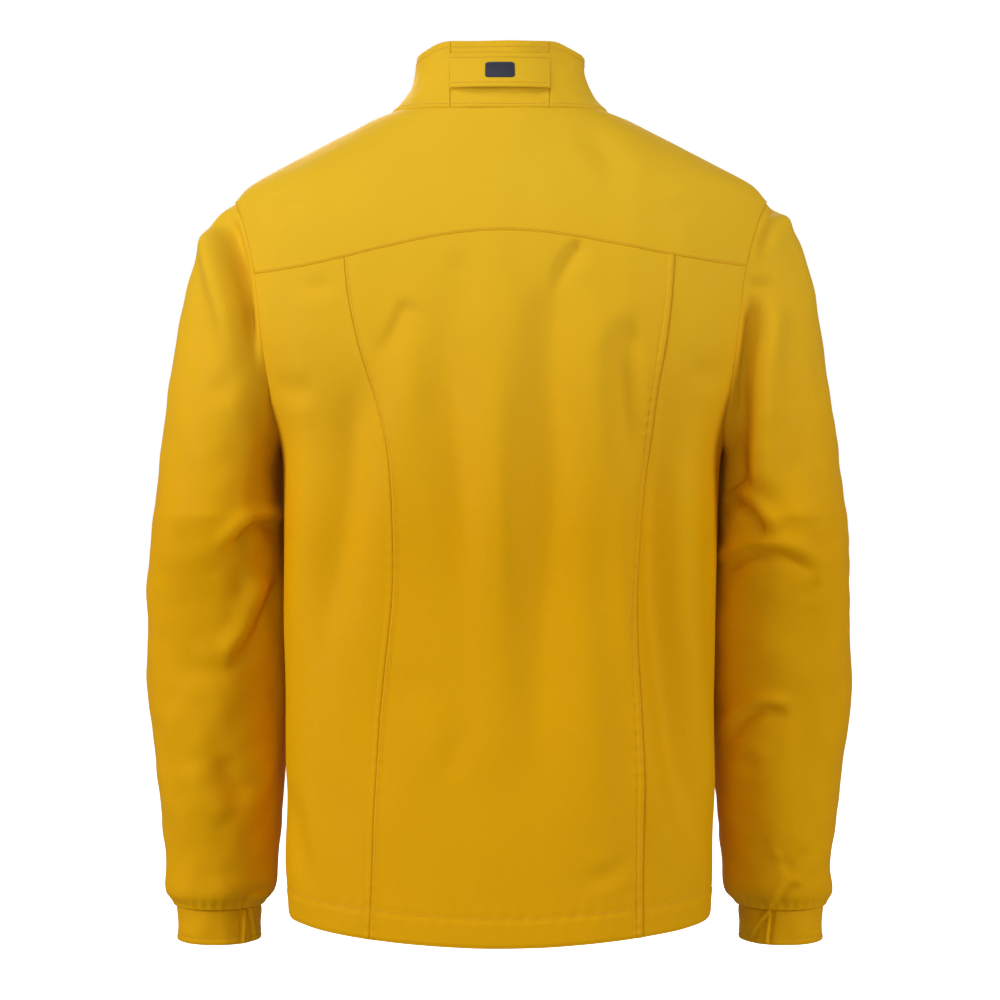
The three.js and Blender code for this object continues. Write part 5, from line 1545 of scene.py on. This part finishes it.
def solid(name, parts, material, body=JACKET, replaces=(), sharp=38.0):
    """One object made of closed parts, each given as points and faces."""
    points, faces, base = [], [], 0
    for part_points, part_faces in parts:
        points.append(part_points)
        faces += [[base + k for k in face] for face in part_faces]
        base += len(part_points)
    points = np.concatenate(points)
    made = mesh_object(name, points, faces, material, body=body, replaces=replaces)
    bm = bmesh.new()
    bm.from_mesh(made.data)
    bmesh.ops.recalc_face_normals(bm, faces=bm.faces)
    bm.to_mesh(made.data)
    bm.free()
    made.data.set_sharp_from_angle(angle=math.radians(sharp))
    return made


def rounded_box(x_low, x_high, y_low, y_high, z_low, z_high, soft=0.4):
    """A moulded block: rings up its length that draw in at both ends."""
    middle = np.array([(x_low + x_high) / 2, (y_low + y_high) / 2])
    half = np.array([(x_high - x_low) / 2, (y_high - y_low) / 2])
    rings = []
    for rise, shrink in ((0, 1.0), (0.3, 0.35), (1, 0.0), (-1, 0.0), (-0.3, 0.35), (0, 1.0)):
        end = z_low if len(rings) < 3 else z_high
        xy = middle + ring(*(half - soft * shrink), 6.0)
        rings.append(np.column_stack([xy, np.full(len(xy), end + rise * soft)]))
    return loft(rings)


def bar_between(x_low, x_high, y, z, radius):
    rings = []
    for x, r in ((x_low, 0.7), (x_low + 0.15, 1.0), (x_high - 0.15, 1.0), (x_high, 0.7)):
        yz = ring(radius * r, radius * r, 2.0, 16)
        rings.append(np.column_stack([np.full(len(yz), x), y + yz[:, 0], z + yz[:, 1]]))
    return loft(rings)


def plate_of(half, length, y_low, y_high, top):
    """A slider's plate: broad shoulders at the top, narrower where the teeth leave it."""
    rings = []
    levels = ((y_low, 0.45), (y_low + 0.3, 0.1), (y_low + 0.55, 0.0), (y_high - 0.2, 0.0), (y_high, 0.15))
    for y, shrink in levels:
        xz = ring(half - shrink, length / 2 - shrink, 4.5, 40)
        share = (xz[:, 1] + length / 2) / length
        x = xz[:, 0] * lerp(0.74, 1.0, ease(share / 0.7))
        rings.append(np.column_stack([x, np.full(len(x), y), top - length / 2 + xz[:, 1]]))
    return loft(rings)


BAIL_RISE, BAIL_RADIUS, BAIL_INNER, BAIL_PLACE, POST = 2.2, 0.7, 2.1, 0.62, 1.1
ZIP_CLEARANCE = 0.4


def slider(name, move, front, back, half, length, plate, top, body):
    front, back = front - ZIP_CLEARANCE, back + ZIP_CLEARANCE
    half = half + ZIP_CLEARANCE + plate
    bar_y = front - plate - BAIL_RISE
    bar_z = top - length * BAIL_PLACE
    parts = [
        plate_of(half, length, front - plate, front, top), plate_of(half, length, back, back + plate, top),
        rounded_box(-0.5, 0.5, front - 0.1, back + 0.1, top - length * 0.55, top, 0.2),
        bar_between(-BAIL_INNER - 0.3, BAIL_INNER + 0.3, bar_y, bar_z, BAIL_RADIUS),
    ]
    for side in (-1, 1):
        low, high = sorted((side * BAIL_INNER, side * (BAIL_INNER + POST)))
        parts.append(rounded_box(low, high, bar_y - 1, front - plate / 2, bar_z - POST, bar_z + POST, 0.3))
    solid(name, moved_by(move, *parts), coated, body, (name,))


EYE_RADIUS = 1.9


def puller(name, move, reach, grip, body):
    """A moulded pull with an eye round the slider's bar, a waist and a ribbed grip."""
    neck = BAIL_INNER - 0.35
    eye = []
    for a in np.linspace(0, 2 * np.pi, 28, endpoint=False):
        xr = ring(neck, 0.4, 4.0, 12)
        radius = EYE_RADIUS - 0.42 + xr[:, 1]
        eye.append(np.column_stack([xr[:, 0], radius * math.cos(a), radius * math.sin(a)]))
    low, top = -reach, -EYE_RADIUS - 1.6
    waist, ribs = np.linspace(-EYE_RADIUS + 0.3, top - 4, 14), np.arange(top - 4.3, low + 0.05, -0.3)
    rings = []
    for z in np.concatenate([waist, ribs, [low + 0.03]]):
        if z > top - 4:
            half = lerp(neck * 0.92, grip * 0.8, float(ease((-EYE_RADIUS - z) / (-top + 4 - EYE_RADIUS))))
        else:
            half = lerp(grip * 0.8, grip, float(ease((top - 4 - z) / (top - 4 - low - grip))))
        end = max(0.0, (low + grip - z) / grip)
        half *= math.sqrt(max(0.02, 1 - min(1, end) ** 2.4))
        ribbed = float(ease((top - 7 - z) / 2) * ease((z - low - grip * 0.9) / 2))
        thick = lerp(0.76, 0.54 + 0.22 * math.cos(z * 2 * math.pi / 2.1), ribbed)
        xy = ring(half, thick * (1 - 0.45 * min(1, end) ** 3), 3.6, 32)
        rings.append(np.column_stack([xy, np.full(len(xy), z)]))
    solid(name, moved_by(move, ring_band(eye), loft(rings)), rubber, body, (name,), 50.0)


MAIN_TOP, MAIN_LENGTH, MAIN_PLATE = -2.6, 13.0, 1.3
TEETH_FRONT, TEETH_BACK = 2.1, 4.7
slider("main_slider", zip_at, TEETH_FRONT, TEETH_BACK, 3.9, MAIN_LENGTH, MAIN_PLATE, MAIN_TOP, "main_slider")
main_bar = zip_at(np.array([[
    0, TEETH_FRONT - ZIP_CLEARANCE - MAIN_PLATE - BAIL_RISE, MAIN_TOP - MAIN_LENGTH * BAIL_PLACE,
]]))[0]
puller("main_puller", lambda p: np.asarray(p) + main_bar, 34.0, 4.5, "main_puller")
STOP_LENGTH = 2.0
BOX_LENGTH, PIN_LENGTH, BOX_GAP = 9.0, 8.0, 0.3
for side, sign in (("left", 1), ("right", -1)):
    low, high = sorted((sign * 0.9, sign * 3.9))
    stop = rounded_box(low, high, 1.7, 5.1, -STOP_LENGTH, -0.2, 0.35)
    solid(f"{side}_top_stop", moved_by(zip_at, stop), coated, JACKET, (f"{side}_top_stop",))
for name, sign in (("insertion_pin", 1), ("retainer_pin", -1)):
    low, high = sorted((sign * 0.9, sign * 3.1))
    base = -ZIP_LENGTH + BOX_LENGTH + BOX_GAP
    pin = rounded_box(low, high, TEETH_FRONT, TEETH_BACK, base, base + PIN_LENGTH, 0.35)
    solid(name, moved_by(zip_at, pin), moulded, JACKET, (name,))
box_parts = [
    rounded_box(-3.9, 3.9, 1.3, 5.5, -ZIP_LENGTH, -ZIP_LENGTH + BOX_LENGTH, 0.6),
    rounded_box(-2.6, 2.6, 0.95, 2.0, -ZIP_LENGTH + 1.2, -ZIP_LENGTH + BOX_LENGTH - 1.2, 0.3),
]
solid("retainer_box", moved_by(zip_at, *box_parts), moulded, JACKET, ("retainer_box",))

# The pocket zips: tapes, a coil on each, the slider and its pull, and a stitched frame round the window.
POCKET_TAPE_Y, POCKET_TAPE_THICK = 0.2, 1.2
POCKET_END = 4.0
POCKET_SLIDER_TOP, POCKET_SLIDER_LENGTH, POCKET_PLATE = -4.3, 9.0, 1.0
WELT = 5.4
COIL_PITCH = 1.35


def pocket_surface(across, up):
    """The place and normal on the left front's surface for places on the pocket's flat frame."""
    flat = POCKET_TOP - pocket_across * across[..., None] + pocket_up * up[..., None]
    sunk = np.zeros(across.shape)
    for _ in range(6):
        p = flat + pocket_in * sunk[..., None]
        low, high = np.full(across.shape, -80.0), np.full(across.shape, -20.0)
        for _ in range(26):
            middle = (low + high) / 2
            wide = on_body(middle, p[..., 2])[..., 0] > p[..., 0]
            low, high = np.where(wide, low, middle), np.where(wide, middle, high)
        found = on_body(low, p[..., 2])
        sunk = (found - flat) @ pocket_in
    return found, body_normal(low, p[..., 2])


def welt(side):
    """A raised frame of shell cloth round the window of a pocket."""
    half_a, half_u = POCKET_WINDOW + 0.4, POCKET_LENGTH / 2 + 0.4
    corner = 3.0
    straight_a, straight_u, arc = 2 * (half_a - corner), 2 * (half_u - corner), math.pi * corner / 2
    at = np.linspace(0, 1, 200, endpoint=False) * (2 * (straight_a + straight_u) + 4 * arc)
    places, outward = [], []
    for d in at:
        for turn, (length, start) in enumerate((
            (straight_u, (half_a, -half_u + corner)), (straight_a, (half_a - corner, half_u)),
            (straight_u, (-half_a, half_u - corner)), (straight_a, (-half_a + corner, -half_u)),
        )):
            way = np.array([(0, 1), (-1, 0), (0, -1), (1, 0)][turn], float)
            out = np.array([(1, 0), (0, 1), (-1, 0), (0, -1)][turn], float)
            if d < length:
                places.append(np.array(start) + way * d)
                outward.append(out)
                break
            d -= length
            if d < arc:
                a = d / corner
                centre = np.array(start) + way * length - out * corner
                out = out * math.cos(a) + way * math.sin(a)
                places.append(centre + out * corner)
                outward.append(out)
                break
            d -= arc
    places, outward = np.array(places), np.array(outward)
    profile = [
        (-0.1, -1.7), (-0.15, -0.4), (0.0, 0.6), (0.45, 1.05), (1.2, 1.15), (2.4, 0.95), (3.6, 1.0),
        (WELT - 0.9, 0.85), (WELT - 0.25, 0.55), (WELT, -0.3),
    ]
    rows = []
    for out, rise in profile:
        spot = places + outward * out
        p, n = pocket_surface(spot[:, 0], spot[:, 1] - POCKET_LENGTH / 2)
        wave = 0.12 * np.sin(at * 2 * np.pi / 12) * (0.2 < out < WELT - 0.5)
        rows.append((p + n * (rise + wave)[..., None], n))
    q = np.stack([row[0] for row in rows])
    n = np.stack([row[1] for row in rows])
    q = np.concatenate([q, q[:, :1]], 1)
    n = np.concatenate([n, n[:, :1]], 1)
    uv = grid_uv(q)
    q, n = on_side(side, q), on_side(side, n)
    a, b = q[3, 1] - q[3, 0], q[4, 0] - q[3, 0]
    flip = float(np.cross(a, b) @ n[3, 0]) < 0
    mesh_object(f"{side}_pocket_welt", q, grid_faces(*q.shape[:2], flip=flip), shell, uv)
    for row in (5, 7):
        stitch_along("pockets", q[row], n[row])


def pocket_tapes(side, move):
    parts = []
    for sign in (-1, 1):
        low, high = sorted((sign * 0.9, sign * (POCKET_WINDOW - 0.3)))
        x, z = np.meshgrid(np.linspace(low, high, 9), np.linspace(-POCKET_LENGTH + 0.3, -0.3, 90))
        ribs = 0.08 * np.sin(x * 2 * np.pi / 1.1)
        front = np.stack([x, POCKET_TAPE_Y + 0.12 + ribs, z], -1)
        rear = np.stack([x, np.full(x.shape, POCKET_TAPE_Y + POCKET_TAPE_THICK), z], -1)
        section = np.concatenate([front, rear[:, ::-1]], 1)
        parts.append(loft(section))
    for low, high in ((-POCKET_LENGTH + 0.3, -POCKET_LENGTH + POCKET_END), (-POCKET_END, -0.3)):
        parts.append(rounded_box(-1.6, 1.6, POCKET_TAPE_Y, POCKET_TAPE_Y + POCKET_TAPE_THICK, low, high, 0.2))
    name = f"{side}_pocket_zip"
    solid(name, moved_by(move, *parts), tape, JACKET, (name,))
    coil = []
    count = int((POCKET_LENGTH - 2 * POCKET_END) / COIL_PITCH)
    around = np.linspace(0, 2 * np.pi, 12, endpoint=False)
    for sign in (-1, 1):
        for k in range(count):
            z = -POCKET_END - 0.5 - COIL_PITCH * (k + (0.5 if sign < 0 else 0))
            loops = []
            for a in around:
                section = ring(0.24, 0.24, 2.0, 6)
                radial = np.array([0.72 * math.cos(a), 0.42 * math.sin(a)])
                out = radial / np.linalg.norm(radial)
                x = sign * (1.55 + radial[0] + out[0] * section[:, 0])
                y = POCKET_TAPE_Y + 0.6 + radial[1] + out[1] * section[:, 0]
                loops.append(np.column_stack([x, y, z + section[:, 1]]))
            coil.append(ring_band(loops))
    solid(f"{side}_pocket_coil", moved_by(move, *coil), moulded, JACKET)


down = -unit(pocket_in * pocket_in[2] + pocket_up * pocket_up[2])
pocket_bar = pocket_at["left"](np.array([[
    0, POCKET_TAPE_Y - ZIP_CLEARANCE - POCKET_PLATE - BAIL_RISE,
    POCKET_SLIDER_TOP - POCKET_SLIDER_LENGTH * BAIL_PLACE,
]]))[0]
for side in ("left", "right"):
    move = pocket_at[side]
    name = f"{side}_pocket_slider"
    slider(name, move, POCKET_TAPE_Y, POCKET_TAPE_Y + POCKET_TAPE_THICK, 2.6, POCKET_SLIDER_LENGTH,
           POCKET_PLATE, POCKET_SLIDER_TOP, name)
    hanging = place(pocket_bar, -pocket_across, np.cross(-down, -pocket_across), -down, flip=side == "right")
    puller(f"{side}_pocket_puller", hanging, 26.0, 3.4, f"{side}_pocket_puller")
    pocket_tapes(side, move)
    welt(side)

# The zip garage: cloth behind the top of the zip, folded forwards over its end.
GARAGE_LENGTH, GARAGE_FLAP = 42.0, 6.5


def folded_band(name, path, edges, thickness, move, material, columns=24):
    """A band of cloth that follows a path of (y, z), with its own edges at each place."""
    path = smooth_path(path, 8)
    way = np.linspace(0, 1, len(path))
    low, high = edges(way)
    tangent = unit(np.gradient(path, axis=0))
    out = np.stack([tangent[:, 1], -tangent[:, 0]], -1)
    x = lerp(low[:, None], high[:, None], np.linspace(0, 1, columns)[None])
    yz = np.broadcast_to(path[:, None, :], (len(path), columns, 2))
    p = np.concatenate([x[..., None], yz], -1)
    n = np.concatenate([np.zeros((len(path), columns, 1)), np.broadcast_to(out[:, None, :], yz.shape)], -1)
    crown, s, bottom = rounded_crown(p, thickness, 0.6)
    crown = crown + 0.12 * np.sin(bottom / 5) * ease(s / 3)
    points, faces = sealed(p + n * crown[..., None], p - n * UNDERSIDE)
    solid(name, [(move(points), as_lists(faces))], material, JACKET, (name,), 60.0)


def garage_edges(way):
    narrow = ease((way - 0.62) / 0.1)
    return lerp(-13.0, -GARAGE_FLAP, narrow), lerp(16.0, GARAGE_FLAP, narrow)


folded_band(
    "chin_guard",
    [(8.8, -GARAGE_LENGTH + 0.5), (8.8, -30), (8.8, -20), (8.8, -8), (8.7, -2), (8.5, 0.4), (7.6, 0.75),
     (5.6, 0.75), (3.6, 0.75), (2.6, 0.7)],
    garage_edges, 0.8, zip_at, shell,
)

# The hanger loop: a woven band bowed off the lining, sewn down at both feet.
loop_low, loop_high = corners("hanger_loop")
LOOP_MID_Z = (loop_low[2] + loop_high[2]) / 2
LOOP_HALF_HEIGHT = (loop_high[2] - loop_low[2]) / 2
LOOP_HALF, LOOP_FREE_HALF = 34.0, 30.5  # half the loop's length, and half of what isn't sewn down
loop_x = np.concatenate([
    np.linspace(-LOOP_HALF, -LOOP_FREE_HALF, 5)[:-1], np.linspace(-LOOP_FREE_HALF, LOOP_FREE_HALF, 61),
    np.linspace(LOOP_FREE_HALF, LOOP_HALF, 5)[1:],
])
bowed = np.cos(np.pi / 2 * np.clip(loop_x / LOOP_FREE_HALF, -1, 1)).clip(0, 1) ** 0.7
loop_y = lerp(loop_high[1] - 1.6, loop_low[1] + 0.7, bowed)
loop_path = np.stack([loop_x, loop_y], -1)
loop_way = unit(np.gradient(loop_path, axis=0))
loop_rings = []
for (x, y), (tx, ty), bow_share in zip(loop_path, loop_way, bowed):
    section = ring(0.6, LOOP_HALF_HEIGHT * 0.96, 5.0, 28)
    ribs = 0.06 * np.sin(section[:, 1] * 2 * np.pi / 1.3)
    across = section[:, 0] + ribs
    height = LOOP_MID_Z + section[:, 1] - 0.3 * bow_share
    loop_rings.append(np.column_stack([x - ty * across, y + tx * across, height]))
solid("hanger_loop", [loft(loop_rings)], label_cloth, JACKET, ("hanger_loop",), 60.0)
for side in (-1, 1):
    for k in range(3):
        x = side * (31.2 + 1.1 * k)
        z = np.linspace(LOOP_MID_Z - 3, LOOP_MID_Z + 3, 12)
        path = np.stack([np.full(12, x), np.full(12, loop_high[1] - 2.35), z], -1)
        stitch_along("loop", path, np.tile([0.0, -1.0, 0.0], (12, 1)))

# The neck label: a woven rectangle with a turned edge, stitched round.
label_low, label_high = corners("neck_label")
LABEL_REACH = 12.06  # degrees to each side of the centre back
label_angle, label_z = np.meshgrid(
    lerp(90 - LABEL_REACH, 90 + LABEL_REACH, np.linspace(0, 1, 60)),
    np.linspace(label_low[2] + 0.3, label_high[2] - 0.3, 40),
)
label_depth = float(back_line(label_low[2])) - label_high[1] + 0.1
label_p = on_body(label_angle, label_z) - body_normal(label_angle, label_z) * label_depth
label_n = -body_normal(label_angle, label_z)
rise = 0.35 * waves(label_p, 24, 61)[..., None] * label_n * 0.5
label_p = (label_p + rise)[:, ::-1]
label_n = label_n[:, ::-1]
raised_patch("neck_label", label_p, label_n, 0.55, label_cloth, ("neck_label",), 0.8)
for line in (np.s_[3], np.s_[-4], np.s_[:, 3], np.s_[:, -4]):
    stitch_along("label", label_p[line] + label_n[line] * 0.5, label_n[line])

# Cuff closures: a patch of loop pile on each cuff, and a stitched tab over it.
CUFF_MID_Z = (CUFF_LOW_Z + CUFF_HIGH_Z) / 2
TAB_START, TAB_END = -30.0, -118.0
TAB_HEIGHT, TAB_LIFT, TAB_THICK = 24.0, 1.9, 1.4
LOOP_PATCH_HALF = 8.0


def cuff_patch(low_turn, high_turn, half_height, lift, columns, rows, round_low, round_high):
    """A band round the cuff whose ends are rounded by the given amounts."""
    k, h = np.meshgrid(np.linspace(0, 1, columns), np.linspace(-1, 1, rows))
    reach = (high_turn - low_turn) / 2
    bend = np.sqrt(np.clip(1 - np.abs(h) ** 3, 0, 1))
    low = low_turn + reach * round_low * (1 - bend)
    high = high_turn - reach * round_high * (1 - bend)
    turn, z = lerp(low, high, k), CUFF_MID_Z + half_height * h
    p, n = on_cuff(turn, z), normals_on(on_cuff, turn, z, 1.0, 1.0)
    return p + n * lift, n


for side in ("left", "right"):
    p, n = cuff_patch(TAB_END + 8, TAB_END + 42, LOOP_PATCH_HALF - 0.1, 0.45, 60, 36, 0.05, 0.05)
    pile = 0.09 * waves(p, 1.7, 71) + 0.07 * waves(p, 3.1, 73)
    p, n = (mirror(p)[:, ::-1], mirror(n)[:, ::-1]) if side == "right" else (p, n)
    pile = pile[:, ::-1] if side == "right" else pile
    raised_patch(f"{side}_cuff_loop_tape", p + n * pile[..., None], n, 0.65, loop_cloth,
                 (f"{side}_cuff_loop_tape",), 0.6)
    p, n = cuff_patch(TAB_END, TAB_START, TAB_HEIGHT / 2 - 0.1, TAB_LIFT, 90, 34, 0.0, 0.12)
    lifted = 0.25 * waves(p, 30, 79)
    p = p + n * lifted[..., None]
    p, n = (mirror(p)[:, ::-1], mirror(n)[:, ::-1]) if side == "right" else (p, n)
    made = raised_patch(f"{side}_cuff_tab", p, n, TAB_THICK, shell, (f"{side}_cuff_tab",), 1.2)
    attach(made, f"{side}_cuff_tab")
    for line in (np.s_[3], np.s_[-4], np.s_[:, 2], np.s_[:, -3]):
        stitch_along(f"{side}_tab", p[line] + n[line] * (TAB_THICK - 0.03), n[line])


make_stitches(thread)

# ---- Stage --------------------------------------------------------------------------------------

FLOOR_Z = -1.05
FLOOR_RADII = (0.0, 0.4, 0.8, 1.2, 1.8, 3.0, 6.0, 20.0)
FLOOR_SIDES = 64
around = np.linspace(0, 2 * np.pi, FLOOR_SIDES, endpoint=False)
points = [(r * math.cos(a), r * math.sin(a), FLOOR_Z) for r in FLOOR_RADII[1:] for a in around]
faces = [list(range(FLOOR_SIDES))]
faces += as_lists(grid_faces(len(FLOOR_RADII) - 1, FLOOR_SIDES, closed=True, flip=True))
white, white_tree, white_shader = nodes_of("studio_white")
white_graph = Graph(white_tree)
paper = white_graph.noise(white_graph.node("ShaderNodeTexCoord").outputs["Object"], 3.0, 4.0)
blotched = white_graph.mix(paper, (0.93, 0.93, 0.93), (0.96, 0.96, 0.96))
white_tree.links.new(blotched, white_shader.inputs["Base Color"])
white_shader.inputs["Roughness"].default_value = 0.9
white_shader.inputs["Emission Color"].default_value = (1, 1, 1, 1)
# the floor glows away from the jacket, and takes its shadow below it
away = white_graph.node("ShaderNodeSeparateXYZ")
white_tree.links.new(white_graph.node("ShaderNodeTexCoord").outputs["Object"], away.inputs[0])
square = [white_graph.math("MULTIPLY", away.outputs[k], away.outputs[k]) for k in ("X", "Y")]
distance = white_graph.math("SQRT", white_graph.math("ADD", *square))
glow = white_graph.ramp(distance, 0.35, 1.3, 0.35, 1.0)
white_tree.links.new(glow, white_shader.inputs["Emission Strength"])
floor_mesh = bpy.data.meshes.new("floor")
floor_mesh.from_pydata(points, [], faces)
floor_mesh.materials.append(white)
floor = bpy.data.objects.new("floor", floor_mesh)
bpy.context.scene.collection.objects.link(floor)
floor.visible_diffuse = False
floor.visible_glossy = False

AMBIENT = 0.25
scene = bpy.context.scene
scene.view_settings.view_transform = "Standard"
world = bpy.data.worlds.new("studio")
scene.world = world
world.use_nodes = True
world_graph = Graph(world.node_tree)
background = world.node_tree.nodes["Background"]
background.inputs[0].default_value = (1.0, 1.0, 1.0, 1)
seen = world_graph.node("ShaderNodeLightPath").outputs["Is Camera Ray"]
world.node_tree.links.new(world_graph.ramp(seen, 0.0, 1.0, AMBIENT, 1.0), background.inputs[1])


def area_light(name, place, target, size, power):
    data = bpy.data.lights.new(name, "AREA")
    data.shape = "RECTANGLE"
    data.size, data.size_y = size
    data.energy = power
    light = bpy.data.objects.new(name, data)
    light.location = place
    light.rotation_euler = (Vector(target) - Vector(place)).to_track_quat("-Z", "Y").to_euler()
    scene.collection.objects.link(light)


MIDDLE = (0.0, 0.0, -0.33)
area_light("top_light", (0.4, 0.95, 1.8), (0, 0, -0.2), (1.2, 0.8), 15)
area_light("left_light", (2.4, 1.2, 0.15), MIDDLE, (0.8, 1.6), 41)
area_light("right_light", (-2.4, 1.4, -0.05), MIDDLE, (0.9, 1.7), 31)
area_light("far_side", (0.3, -2.3, 1.1), MIDDLE, (1.6, 1.2), 44)
area_light("low_fill", (0.2, 2.7, -0.9), (0, 0, -0.6), (1.6, 0.8), 17)

CAMERA_DISTANCE = 2.0
FIELD = 0.864  # width seen at the jacket's middle
camera_data = bpy.data.cameras.new("camera")
camera_data.sensor_width = 36.0
camera_data.lens = 36.0 * CAMERA_DISTANCE / FIELD
camera = bpy.data.objects.new("camera", camera_data)
camera.location = (0.0, CAMERA_DISTANCE, -0.332)
camera.rotation_euler = (math.radians(90), 0, math.radians(180))
scene.collection.objects.link(camera)
scene.camera = camera
